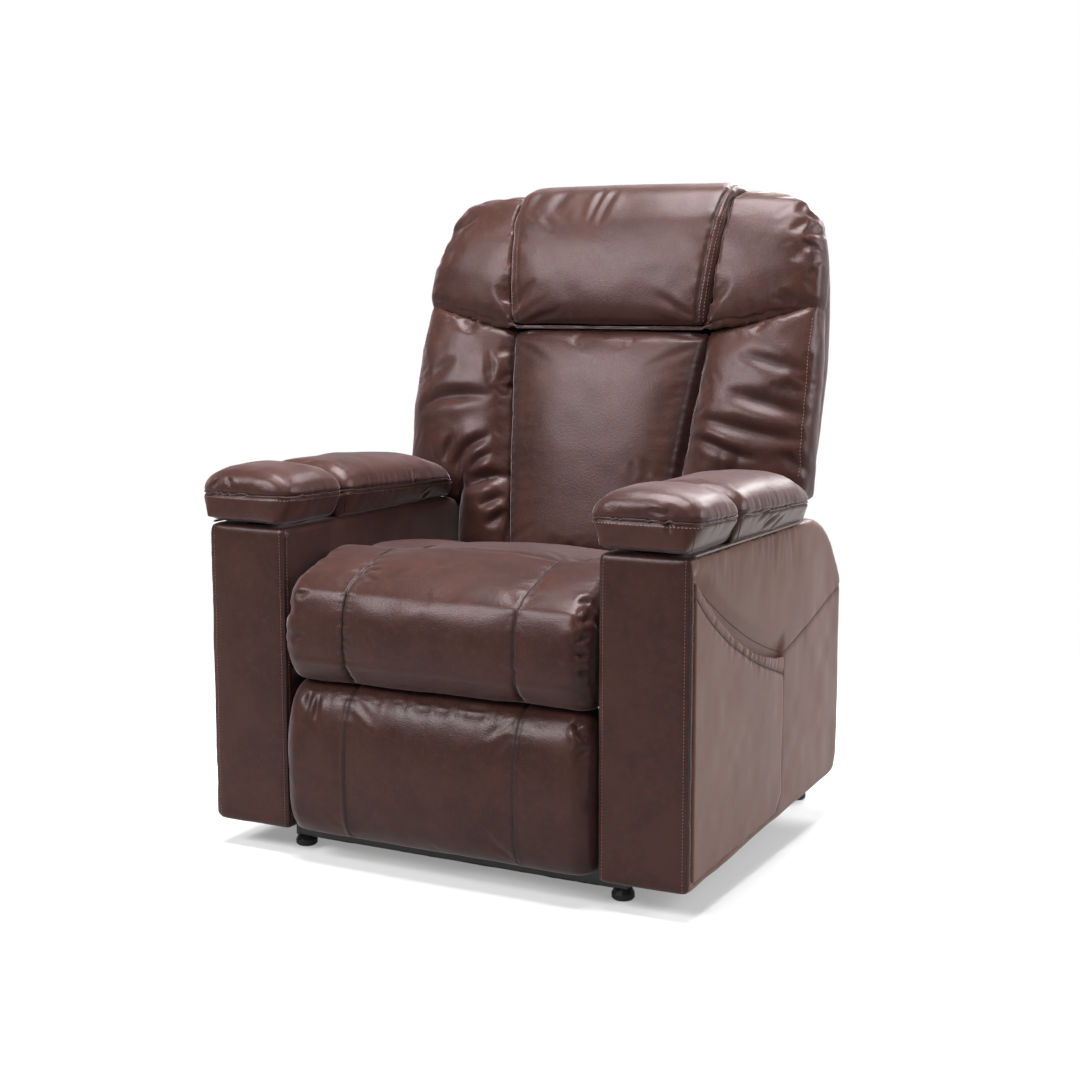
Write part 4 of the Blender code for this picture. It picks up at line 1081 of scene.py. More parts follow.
class Workshop:
    """Materials and sewing trees, made once and shared by all the pieces."""

    def __init__(self) -> None:
        """Build every material and tree."""
        self.materials = {finish: finish.value.build() for finish in Finish}
        self.stitches, self.welts = stitch_tree(), welt_tree()

    def dress(self, piece: bpy.types.Object, finish_name: Finish, panels: Finish | None = None) -> None:
        """Give a piece its finish.

        Args:
            piece: what is dressed.
            finish_name: finish of the whole.
            panels: a lighter copy of the leather, painted light, for the faces that look sideways or back,
                if they have one.
        """
        finish(piece, self.materials[finish_name])
        if panels:
            mesh = piece.data
            mesh.materials.append(self.materials[panels])
            facing, places = rows_of(mesh.polygons, "normal"), rows_of(mesh.polygons, "center")
            # the faces that look out sideways or back get the lighter painted-light copy
            sideways = np.sign(places[:, 0]) * facing[:, 0] > 0.70
            behind_corner = places[:, 1] > ARM_FRONT + 0.006
            chosen = (sideways & behind_corner) | (facing[:, 1] > 0.5)
            mesh.polygons.foreach_set("material_index", chosen.astype(np.int32))

    def sew(self, name: str, body: str, lines: Sequence[Array], thread: Finish = Finish.THREAD,
            pitch: float = 0.0062, length: float = 0.0044, thickness: float = 0.0012) -> None:
        """Sew stitches along lines.

        Args:
            name: the piece's name.
            body: what it rides on.
            lines: where they run.
            thread: finish of the thread.
            pitch: from one stitch to the next.
            length: of one stitch.
            thickness: of the thread.
        """
        piece = self.stitches.run(name, line_mesh(lines), {"Pitch": pitch, "Length": length,
                                                           "Thickness": thickness,
                                                           "Material": self.materials[thread]})
        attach(piece, body)

    def cord(self, name: str, body: str, lines: Sequence[Array], radius: float,
             cover: Finish) -> None:
        """Run a covered cord along lines.

        Args:
            name: the piece's name.
            body: what it rides on.
            lines: where it runs.
            radius: of the cord.
            cover: finish of the cord.
        """
        piece = self.welts.run(name, line_mesh(lines), {"Radius": radius, "Material": self.materials[cover]})
        store_tuck(piece.data, np.zeros(len(piece.data.vertices)))
        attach(piece, body)

    def seam(self, name: str, body: str, slot: str, lines: Sequence[Array], radius: float = 0.0006) -> None:
        """Lay a near-black cord at the bottom of seams, painted shade for the shadow in the seam line."""
        self.cord(name, body, lines, radius, Finish.DARK_THREAD)


# ------------------------------------------------------------------ upholstered pieces


@dataclass
class Stuffing:
    """How one cushion is filled.

    Its skin starts inside the solid by the inset where it faces the free direction and outside by
    the overlap where it meets a neighbour. The filling then moves it by no more than the cap.
    """

    voxel: float = 0.006
    inset: float = 0.005
    free: Place = (0.0, -0.7, 0.7)
    overlap: float = 0.003
    pressure: float = 4.0
    cap: float = 0.014
    fill: float = 0.6
    smooth: int = 3


@dataclass
class Upholstery:
    """A sewn cover over one CAD solid."""

    name: str
    node: str
    body: str
    slot: str
    cover: Finish
    stuffing: Stuffing | None = None
    # lighter painted-light finish for the faces that look sideways or back, if any
    panels: Finish | None = None
    voxel: float = 0.005
    smooth: int = 3
    fine: int = 1
    piece: bpy.types.Object = field(init=False, default=None)

    def form(self, firm: Callable[[Array, Array], Array] | None = None) -> bpy.types.Object:
        """Make the bare skin.

        Args:
            firm: how firmly each point is held, from points and normals.

        Returns:
            The piece, before its seams.
        """
        piece = copied(self.node, self.name)
        filled = self.stuffing
        remeshed(piece, filled.voxel if filled else self.voxel)
        relaxed(piece.data, filled.smooth if filled else self.smooth)
        if filled:
            points, normals = points_of(piece.data), normals_of(piece.data)
            held = firm(points, normals) if firm else np.zeros(len(points))
            facing = normals @ np.array(filled.free)
            drawn = (filled.inset * (1 - held) * np.clip(1.3 * facing, 0.0, 1.0)
                     - filled.overlap * np.clip(1.0 - 2.5 * facing, 0.0, 1.0))
            move_points(piece.data, points - normals * drawn[:, None])
            stuffed(piece, held, filled.pressure, filled.cap)
        if self.fine:
            refined(piece, self.fine)
        self.piece = piece
        return piece

    def done(self, workshop: Workshop) -> None:
        """Dress the finished piece and put it in the frame.

        Args:
            workshop: has the finishes.
        """
        workshop.dress(self.piece, self.cover, self.panels)
        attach(self.piece, self.body)
        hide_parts(self.node)
        LOG.info("%s: %d faces", self.name, len(self.piece.data.polygons))


@dataclass(frozen=True)
class Eye:
    """Where the photograph was taken from, so that a fold lies where it is seen."""

    place: Place = (1.4182, -2.70525, 0.91675)
    aim: Place = (-0.46359, 0.87436, -0.14345)
    focal: float = 1788.4
    centre: tuple[float, float] = (542.36, 552.27)
    jump: float = 0.020

    def through(self, pixel: Sequence[float]) -> Vector:
        """Look through a pixel.

        Args:
            pixel: across and down, in a picture of 1080 by 1080.

        Returns:
            The direction.
        """
        aim = Vector(self.aim).normalized()
        right = aim.cross(Vector((0.0, 0.0, 1.0))).normalized()
        up = right.cross(aim)
        across, down = pixel[0] - self.centre[0], pixel[1] - self.centre[1]
        return (aim * self.focal + right * across - up * down).normalized()

    def seen(self, cover: Cover, pixels: Sequence[Sequence[float]], spacing: float = 4.0) -> Array:
        """Lay a line on a cover where the picture shows it.

        Args:
            cover: what it lies on.
            pixels: those that the line runs through.
            spacing: pixels from one point to the next.

        Returns:
            The points of the line, up to where it would jump to something behind.
        """
        flat = curve_through([(x, y, 0.0) for x, y in pixels], spacing)
        start = Vector(self.place)
        points = cover.seen([start] * len(flat), [start + self.through(pixel) for pixel in flat])
        if len(points) < 2:
            return points
        steps = np.linalg.norm(np.diff(points, axis=0), axis=1)
        jumps = np.nonzero(steps > self.jump)[0]
        return points[:jumps[0] + 1] if len(jumps) else points

    def folds(self, cover: Cover, folds: Iterable[Fold]) -> list[Crease]:
        """Lay creases on a cover.

        Args:
            cover: what they lie on.
            folds: pixels, depth and width of each.

        Returns:
            The creases; one that the cover doesn't reach is left out.
        """
        made = []
        for pixels, depth, width in folds:
            points = self.seen(cover, pixels)
            if len(points) > 2:
                made.append(Crease(Line(points), depth, width))
        return made


EYE = Eye()


@dataclass
class Seat:
    """Seat cushion with its front roll, in three panels."""

    bottom: float = 0.305
    roll_top: float = 0.455
    rear: float = 0.080
    end: float = 0.266
    fold_line: tuple[Place, ...] = ((-0.250, -0.232, 0.52), (-0.15, -0.226, 0.52), (0.0, -0.229, 0.52),
                                    (0.14, -0.224, 0.52), (0.250, -0.232, 0.52))
    folds: tuple[Fold, ...] = (
        (((385, 540), (397, 545), (409, 551)), 0.0024, 0.0060),
        (((366, 566), (374, 569), (384, 568)), 0.0018, 0.0040),
        (((363, 573), (371, 578), (378, 580)), 0.0015, 0.0040),
        (((536, 562), (545, 566), (553, 567)), 0.0015, 0.0040),
        (((591, 604), (584, 600), (577, 602)), 0.0030, 0.0050),
        (((591, 618), (584, 621), (576, 619)), 0.0033, 0.0050),
        (((591, 636), (583, 638), (573, 645)), 0.0033, 0.0050),
        (((591, 654), (583, 655), (574, 652)), 0.0033, 0.0050),
        (((591, 668), (583, 672), (576, 671)), 0.0030, 0.0050),
        (((294, 592), (301, 594), (309, 591)), 0.0018, 0.0050),
        (((291, 640), (299, 636), (306, 637)), 0.0018, 0.0050))

    def seam(self, cover: Cover, x: float) -> Array:
        """Find a seam that runs up the front roll and back over the top.

        Args:
            cover: what it lies on.
            x: where it runs, across the chair.

        Returns:
            Its points.
        """
        heights = np.linspace(self.bottom, self.roll_top, 24)
        front = cover.seen([(x, -0.6, z) for z in heights], [(x, 0.0, z) for z in heights])
        depths = np.linspace(ARM_FRONT - 0.012, self.rear, 70)
        top = cover.seen([(x, y, 0.7) for y in depths], [(x, y, 0.0) for y in depths])
        return np.vstack([front, top[top[:, 2] > self.roll_top + 0.004]])

    def firm(self, points: Array, normals: Array) -> Array:
        """Hold it on the deck, behind the back cushion, along the seams and at the ends.

        Args:
            points: vertices of the skin.
            normals: their directions.

        Returns:
            How firmly each is held.
        """
        across = np.abs(points[:, 0])
        held = np.where((normals[:, 2] < -0.5) | (points[:, 1] > 0.055), 1.0, 0.0)
        held = np.maximum(held, SEWN * (np.abs(across - SEAT_SEAM) < SEAM_HALF))
        return np.maximum(held, 0.5 * eased(ramp(across, 0.258, 0.268)))

    def build(self, workshop: Workshop) -> None:
        """Make the cushion and its seams.

        Args:
            workshop: has the finishes and the sewing kit.
        """
        work = Upholstery("seat_cover", "seat_cushion", "seat", "leather_brown", Finish.FRONT,
                          Stuffing(fill=0.65, overlap=0.004))
        cover = Cover(work.form(self.firm))
        seams = [self.seam(cover, sign * SEAT_SEAM) for sign in (-1, 1)]
        details: list[Detail] = [Billow(0.0016, 0.10, 11)]
        for sign, seam in zip((-1, 1), seams):
            details.append(Seam(Line(seam), depth=0.0042, width=0.0042, pucker=0.0026, reach=0.014,
                                pitch=0.0120, roll=0.0030, roll_reach=0.034, dark=0.9, seed=20 + sign))
            details.append(Seam(Line(self.seam(cover, sign * self.end)), depth=0.002, width=0.010,
                                pucker=0.0055, reach=0.020, pitch=0.0195, dark=0.3, seed=30 + sign))
        details += EYE.folds(cover, self.folds)
        details.append(Crease(Line(cover.laid(curve_through(self.fold_line))), 0.0045, 0.011))
        dressed(work.piece, details)
        work.done(workshop)
        finished = Cover(work.piece)
        # near-black cord in the seam grooves: painted shade
        workshop.seam("seat_seams", "seat", "leather_brown", [finished.laid(seam) for seam in seams])


@dataclass
class Footrest:
    """Footrest cushion, in three panels like the seat."""

    bottom: float = 0.056
    top: float = 0.285
    rear: float = -0.335
    half: float = 0.262
    folds: tuple[Fold, ...] = (
        (((320, 694), (317, 706), (315, 722)), 0.0030, 0.005),
        (((311, 690), (309, 700), (308, 712)), 0.0020, 0.005),
        (((575, 722), (580, 733), (586, 742)), 0.0040, 0.005),
        (((586, 716), (580, 722), (571, 726)), 0.0035, 0.005),
        (((590, 748), (583, 752), (577, 760)), 0.0025, 0.005))

    def seam(self, cover: Cover, x: float) -> Array:
        """Find a seam that runs up the front and over the top edge.

        Args:
            cover: what it lies on.
            x: where it runs, across the chair.

        Returns:
            Its points.
        """
        heights = np.linspace(self.bottom, self.top, 44)
        front = cover.seen([(x, -0.6, z) for z in heights], [(x, 0.0, z) for z in heights])
        depths = np.linspace(-0.412, self.rear, 20)
        over = cover.seen([(x, y, 0.5) for y in depths], [(x, y, 0.0) for y in depths])
        return np.vstack([front, over[over[:, 1] > front[-1, 1] + 0.002]])

    def firm(self, points: Array, normals: Array) -> Array:
        """Hold it on its board and along the seams.

        Args:
            points: vertices of the skin.
            normals: their directions.

        Returns:
            How firmly each is held.
        """
        held = np.where((normals[:, 1] > 0.5) & (points[:, 1] > -0.345), 1.0, 0.0)
        return np.maximum(held, SEWN * (np.abs(np.abs(points[:, 0]) - SEAT_SEAM) < SEAM_HALF))

    def build(self, workshop: Workshop) -> None:
        """Make the cushion and its seams.

        Args:
            workshop: has the finishes and the sewing kit.
        """
        work = Upholstery("footrest_cover", "footrest_cushion", "footrest", "leather_brown", Finish.FRONT,
                          Stuffing(fill=0.7, cap=0.011, free=(0.0, -1.0, 0.0), overlap=0.004))
        cover = Cover(work.form(self.firm))
        seams = [self.seam(cover, sign * SEAT_SEAM) for sign in (-1, 1)]
        details: list[Detail] = [Billow(0.0013, 0.09, 41)]
        for sign, seam in zip((-1, 1), seams):
            details.append(Seam(Line(seam), depth=0.0028, width=0.0036, pucker=0.0010, reach=0.014,
                                pitch=0.013, roll=0.0015, roll_reach=0.030, dark=0.9, seed=43 + sign))
        details += EYE.folds(cover, self.folds)
        across = np.linspace(-self.half, self.half, 80)
        rim = cover.seen([(x, -0.45, 0.45) for x in across], [(x, -0.385, 0.27) for x in across])
        details.append(Seam(Line(rim), depth=0.0, width=0.004, pucker=0.0022, reach=0.018, pitch=0.020,
                            dark=0.0, seed=47))
        dressed(work.piece, details)
        work.done(workshop)
        finished = Cover(work.piece)
        # near-black cord in the seam grooves: painted shade
        workshop.seam("footrest_seams", "footrest", "leather_brown", [finished.laid(seam) for seam in seams])


@dataclass
class Backrest:
    """Back: lumbar panel, two side bolsters with wings, shoulder cushion, headrest overlay, rear cover."""

    lean: float = math.radians(14.0)
    foot_y: float = 0.55
    foot_z: float = 0.36
    wing_start: float = 0.262
    wing_reach: float = 0.041
    overlay_foot: float = 0.50
    overlay_half: float = 0.194
    overlay_spread: float = 0.0893
    overlay_top_half: float = 0.2185
    rear_half: float = 0.379
    rear_corner: float = 0.11
    wing_folds: dict[Side, tuple[Fold, ...]] = field(default_factory=lambda: {
        Side.LEFT: (
            (((738, 352), (770, 362), (806, 372)), 0.0038, 0.0108),
            (((770, 384), (786, 389), (803, 393)), 0.0025, 0.0095),
            (((722, 391), (760, 401), (790, 410), (813, 418)), 0.0057, 0.0121),
            (((686, 418), (706, 420), (726, 425), (762, 434), (806, 441)), 0.0055, 0.0108),
            (((690, 436), (712, 444), (735, 454), (760, 460)), 0.0040, 0.0081),
            (((775, 452), (795, 462), (810, 472)), 0.0043, 0.0095)),
        Side.RIGHT: (
            (((413, 416), (428, 404), (441, 397), (466, 394), (492, 396)), 0.0055, 0.0108),
            (((430, 378), (443, 366), (456, 357)), 0.0026, 0.0108),
            (((444, 462), (448, 447), (453, 434)), 0.0043, 0.0081),
            (((455, 468), (462, 454), (470, 445), (492, 433)), 0.0055, 0.0095),
            (((470, 470), (480, 458), (493, 451)), 0.0038, 0.0081),
            (((459, 489), (475, 481), (492, 476), (508, 476)), 0.0066, 0.0095),
            (((478, 506), (492, 500), (506, 494)), 0.0043, 0.0081),
            (((484, 526), (497, 517), (506, 508)), 0.0038, 0.0081),
            (((488, 350), (491, 366), (490, 384)), 0.0031, 0.0068))})
    lumbar_folds: tuple[Fold, ...] = (
        (((650, 478), (646, 468), (642, 458)), 0.0016, 0.0081),
        (((634, 480), (633, 470), (631, 461)), 0.0010, 0.0068),
        (((545, 545), (553, 542), (562, 537)), 0.0008, 0.0081))
    shoulder_folds: tuple[Fold, ...] = (
        (((800, 240), (812, 246), (823, 251)), 0.0036, 0.006),
        (((800, 209), (812, 216), (823, 223)), 0.0026, 0.006),
        (((779, 289), (789, 296), (799, 304)), 0.0030, 0.007),
        (((772, 296), (783, 301), (794, 307)), 0.0020, 0.006),
        (((450, 238), (462, 227), (478, 218)), 0.0030, 0.007),
        (((452, 230), (466, 220), (482, 215)), 0.0019, 0.007))
    headrest_folds: tuple[Fold, ...] = (
        (((600, 186), (590, 200), (580, 218), (575, 231)), 0.0034, 0.0060),
        (((606, 188), (597, 203), (588, 222)), 0.0023, 0.0060),
        (((618, 189), (606, 205), (597, 226)), 0.0019, 0.0072),
        (((572, 190), (561, 200), (551, 213)), 0.0014, 0.0096),
        (((547, 190), (538, 200), (529, 211)), 0.0014, 0.0096))

    def at(self, x: float, forward: float, up: float) -> Place:
        """Find a place by the back's own directions.

        Args:
            x: across the chair.
            forward: in front of the back's line.
            up: along that line.

        Returns:
            The place.
        """
        sine, cosine = math.sin(self.lean), math.cos(self.lean)
        return (x, self.foot_y - forward * cosine + up * sine + ARM_FRONT,
                self.foot_z + forward * sine + up * cosine)

    def split(self, points: Array) -> tuple[Array, Array]:
        """Measure points by the back's own directions.

        Args:
            points: what is measured.

        Returns:
            How far in front of the back's line and how high along it each point is.
        """
        y, z = points[:, 1] - ARM_FRONT - self.foot_y, points[:, 2] - self.foot_z
        sine, cosine = math.sin(self.lean), math.cos(self.lean)
        return z * sine - y * cosine, y * sine + z * cosine

    def facing(self, cover: Cover, places: Sequence[tuple[float, float]]) -> Array:
        """Points of the front surface at (x, up) places."""
        return cover.seen([self.at(x, 0.4, up) for x, up in places],
                          [self.at(x, 0.0, up) for x, up in places])

    def facing_curve(self, cover: Cover, guides: Sequence[tuple[float, float]]) -> Array:
        """Smooth line on the front surface through (x, up) guides."""
        flat = curve_through([(x, up, 0.0) for x, up in guides])
        return self.facing(cover, [(x, up) for x, up, _ in flat])

    @property
    def outward(self) -> Place:
        """Direction that the back faces."""
        return (0.0, -math.cos(self.lean), math.sin(self.lean))

    def cushion(self, name: str, node: str, **filling: float) -> Upholstery:
        """Start a cushion of the back.

        Args:
            name: of its cover.
            node: the solid that it covers.
            filling: what is special in its stuffing.

        Returns:
            The cushion, before it is formed.
        """
        return Upholstery(name, node, "back", "leather_brown", Finish.FRONT,
                          Stuffing(**{"free": self.outward, **filling}))

    def firm_rear(self, points: Array, normals: Array) -> Array:
        """Hold a cushion at its rear.

        Args:
            points: vertices of the skin.
            normals: their directions.

        Returns:
            How firmly each is held.
        """
        sine, cosine = math.sin(self.lean), math.cos(self.lean)
        rearward = normals[:, 1] * cosine - normals[:, 2] * sine
        return np.where(rearward > 0.6, 1.0, 0.0)

    def firm_sides(self, points: Array, normals: Array) -> Array:
        """Hold a cushion at its rear and on the faces sewn to its neighbours."""
        return np.maximum(self.firm_rear(points, normals), SEWN * (np.abs(normals[:, 0]) > 0.75))

    def lumbar(self, workshop: Workshop) -> None:
        """Smooth panel behind the small of the back.

        Args:
            workshop: has the finishes.
        """
        work = self.cushion("lumbar_cover", "lumbar_cushion", voxel=0.0055, fill=0.7, cap=0.010)
        cover = Cover(work.form(self.firm_sides))
        details: list[Detail] = [Billow(0.0012, 0.12, 51)]
        details += EYE.folds(cover, self.lumbar_folds)
        for sign in (-1, 1):
            edge = self.facing_curve(cover, [(sign * 0.150, 0.085), (sign * 0.152, 0.20),
                                             (sign * 0.166, 0.34), (sign * 0.184, 0.465)])
            # nearly flat seam: its work is painted shade down each side of the lumbar panel
            details.append(Seam(Line(edge), depth=0.0003, width=0.011, pucker=0.0012, reach=0.022,
                                pitch=0.018, dark=0.9, seed=53 + sign))
        dressed(work.piece, details)
        work.done(workshop)

    def bolster(self, workshop: Workshop, side: Side) -> None:
        """Side bolster with its wing.

        Args:
            workshop: has the finishes and the sewing kit.
            side: which of the two.
        """
        s = side.value
        work = self.cushion(f"bolster_cover_{side.tag}", f"side_bolster_{side.tag}", voxel=0.0055, fill=0.6,
                            cap=0.011)
        work.form(self.firm_rear)
        self.lengthen(work.piece)
        pressed(work.piece, (0.0, 0.0, 1.0), 0.004)
        cover = Cover(work.piece)
        details: list[Detail] = [Billow(0.0018, 0.08, 61 + s)]
        inner = self.facing_curve(cover, [(s * 0.160, 0.085), (s * 0.162, 0.20), (s * 0.176, 0.34),
                                          (s * 0.196, 0.465)])
        details.append(Seam(Line(inner), depth=0.002, width=0.006, pucker=0.0034 if s < 0 else 0.0020,
                            reach=0.020, pitch=0.022, dark=0.5, seed=63 + s))
        details += EYE.folds(cover, self.wing_folds[side])
        dressed(work.piece, details)
        work.done(workshop)
        edge = self.facing_curve(Cover(work.piece), [(s * 0.386, 0.245), (s * 0.386, 0.33),
                                                     (s * 0.384, 0.42), (s * 0.382, 0.515)])
        workshop.sew(f"bolster_stitches_{side.tag}", "back", [edge])

    def round_ends(self, piece: bpy.types.Object) -> None:
        """Draw the rear of the shoulders' ends in and round them off.

        Args:
            piece: the shoulder cushion.
        """
        points = points_of(piece.data)
        forward, _ = self.split(points)
        end = ramp(np.abs(points[:, 0]), 0.29, 0.38)
        back = ramp(-forward, -0.02, 0.08)
        points[:, 0] -= np.sign(points[:, 0]) * 0.020 * end * eased(back)
        move_points(piece.data, points)
        relaxed(piece.data, 40, 0.5 * end ** 2 * back)

    def lengthen(self, piece: bpy.types.Object) -> None:
        """Let a wing hang down to the arm box beside it.

        Args:
            piece: the bolster.
        """
        points = points_of(piece.data)
        across = np.abs(points[:, 0])
        wing = ramp(across, self.wing_start, self.wing_start + 0.016)
        above = points[:, 2] - points[across > self.wing_start + 0.048, 2].min()
        share = np.clip(1.0 - np.where(above > 0.0, above / 0.12, -above / 0.05), 0.0, 1.0)
        front = np.clip((0.222 - points[:, 1]) * 0.15, 0.0, 0.012)
        points[:, 2] -= (self.wing_reach + front) * wing * eased(share)
        move_points(piece.data, points)

    def shoulders(self, workshop: Workshop) -> None:
        """Full cushion behind the shoulders.

        Args:
            workshop: has the finishes.
        """
        work = self.cushion("shoulder_cover", "shoulder_cushion", fill=0.75, cap=0.010)
        work.form(self.firm_rear)
        pressed(work.piece, (0.0, 0.0, -1.0), 0.008, 0.190)
        self.round_ends(work.piece)
        cover = Cover(work.piece)
        details: list[Detail] = [Billow(0.0018, 0.10, 71)]
        details += EYE.folds(cover, self.shoulder_folds)
        for sign in (-1, 1):
            seam = self.facing_curve(cover, [(sign * 0.196, 0.492), (sign * 0.250, 0.512),
                                             (sign * 0.320, 0.530), (sign * 0.380, 0.537)])
            details.append(Seam(Line(seam), depth=0.0, width=0.005, pucker=0.0026, reach=0.022,
                                pitch=0.020, dark=0.0, seed=73 + sign))
        dressed(work.piece, details)
        work.done(workshop)

    def headrest(self, workshop: Workshop) -> None:
        """Overlay that hangs over the top of the back, double stitched along one side and single stitched
        along the other.

        Args:
            workshop: has the finishes and the sewing kit.
        """
        work = self.cushion("headrest_cover", "headrest_pad", free=Stuffing.free, voxel=0.0055, fill=0.6,
                            cap=0.009, inset=0.003, smooth=14)
        work.form(self.firm_overlay)
        forward, up = self.split(points_of(work.piece.data))
        relaxed(work.piece.data, 160, 0.5 * ramp(up, 0.69, 0.73) * ramp(forward, -0.09, -0.05))
        cover = Cover(work.piece)
        edges = [self.overlay_edge(cover, sign, 0.017) for sign in (-1, 1)]
        details: list[Detail] = [Billow(0.0016, 0.09, 81)]
        for sign, edge in zip((-1, 1), edges):
            strong = 1.0 if sign > 0 else 0.35
            details.append(Seam(Line(edge), depth=0.0035 * strong, width=0.0035, pucker=0.0014 * strong,
                                reach=0.014, pitch=0.016, dark=0.5 * strong, seed=83 + sign))
        details += EYE.folds(cover, self.headrest_folds)
        dressed(work.piece, details)
        work.done(workshop)
        finished = Cover(work.piece)
        rows = [self.overlay_edge(finished, sign, aside)
                for sign, asides in ((1, (0.005, 0.0115)), (-1, (0.003,))) for aside in asides]
        workshop.sew("headrest_stitches", "back", rows)
        # near-black cord in the seam groove: painted shade
        workshop.seam("headrest_seam", "back", "leather_brown", [finished.laid(edges[1])])

    def half_at(self, up: Array | float) -> Array | float:
        """Half the width of the overlay at a height along the back."""
        return self.overlay_half + (up - self.overlay_foot) * self.overlay_spread

    def firm_overlay(self, points: Array, normals: Array) -> Array:
        """Hold the overlay where it lies on the shoulders, at one side edge and at its rear.

        Args:
            points: vertices of the skin.
            normals: their directions.

        Returns:
            How firmly each is held.
        """
        forward, up = self.split(points)
        inside = (forward < 0.064) & (up < 0.752) & (forward > -0.10)
        edge = 0.8 * (points[:, 0] > self.half_at(up) - 0.016)
        return np.maximum(np.where(inside, 1.0, edge), self.firm_rear(points, normals))

    def overlay_edge(self, cover: Cover, sign: int, inward: float) -> Array:
        """Find a line up the front of the overlay and over its top.

        Args:
            cover: what it lies on.
            sign: of the side that it runs along.
            inward: how far it is from the side edge.

        Returns:
            Its points.
        """
        front = [(sign * (self.half_at(up) - inward), up) for up in np.linspace(0.506, 0.735, 44)]
        x = sign * (self.overlay_top_half - inward)
        depths = np.linspace(0.045, -0.075, 22)
        top = cover.seen([self.at(x, forward, 1.0) for forward in depths],
                         [self.at(x, forward, 0.6) for forward in depths])
        return np.array([*self.facing(cover, front), *top])

    def rear(self, workshop: Workshop) -> None:
        """Cover on the rear of the back, with its upper corners rounded.

        Args:
            workshop: has the finishes.
        """
        work = Upholstery("rear_cover_sewn", "rear_cover", "back", "leather_rear", Finish.REAR, voxel=0.0075,
                          smooth=1)
        work.form()
        points = points_of(work.piece.data)
        radius = self.rear_corner
        across = np.abs(points[:, 0]) - (self.rear_half - radius)
        rise = points[:, 2] - (points[:, 2].max() - radius)
        beyond = np.hypot(across, rise)
        outside = (across > 0) & (rise > 0) & (beyond > radius)
        pull = np.where(outside, radius / np.maximum(beyond, 1e-6), 1.0)
        points[:, 0] -= np.sign(points[:, 0]) * across * (1 - pull)
        points[:, 2] -= rise * (1 - pull)
        move_points(work.piece.data, points)
        dressed(work.piece, [Billow(0.0012, 0.12, 91)])
        work.done(workshop)

    def build(self, workshop: Workshop) -> None:
        """Make all its pieces.

        Args:
            workshop: has the finishes and the sewing kit.
        """
        self.lumbar(workshop)
        for side in Side:
            self.bolster(workshop, side)
        self.shoulders(workshop)
        self.headrest(workshop)
        self.rear(workshop)


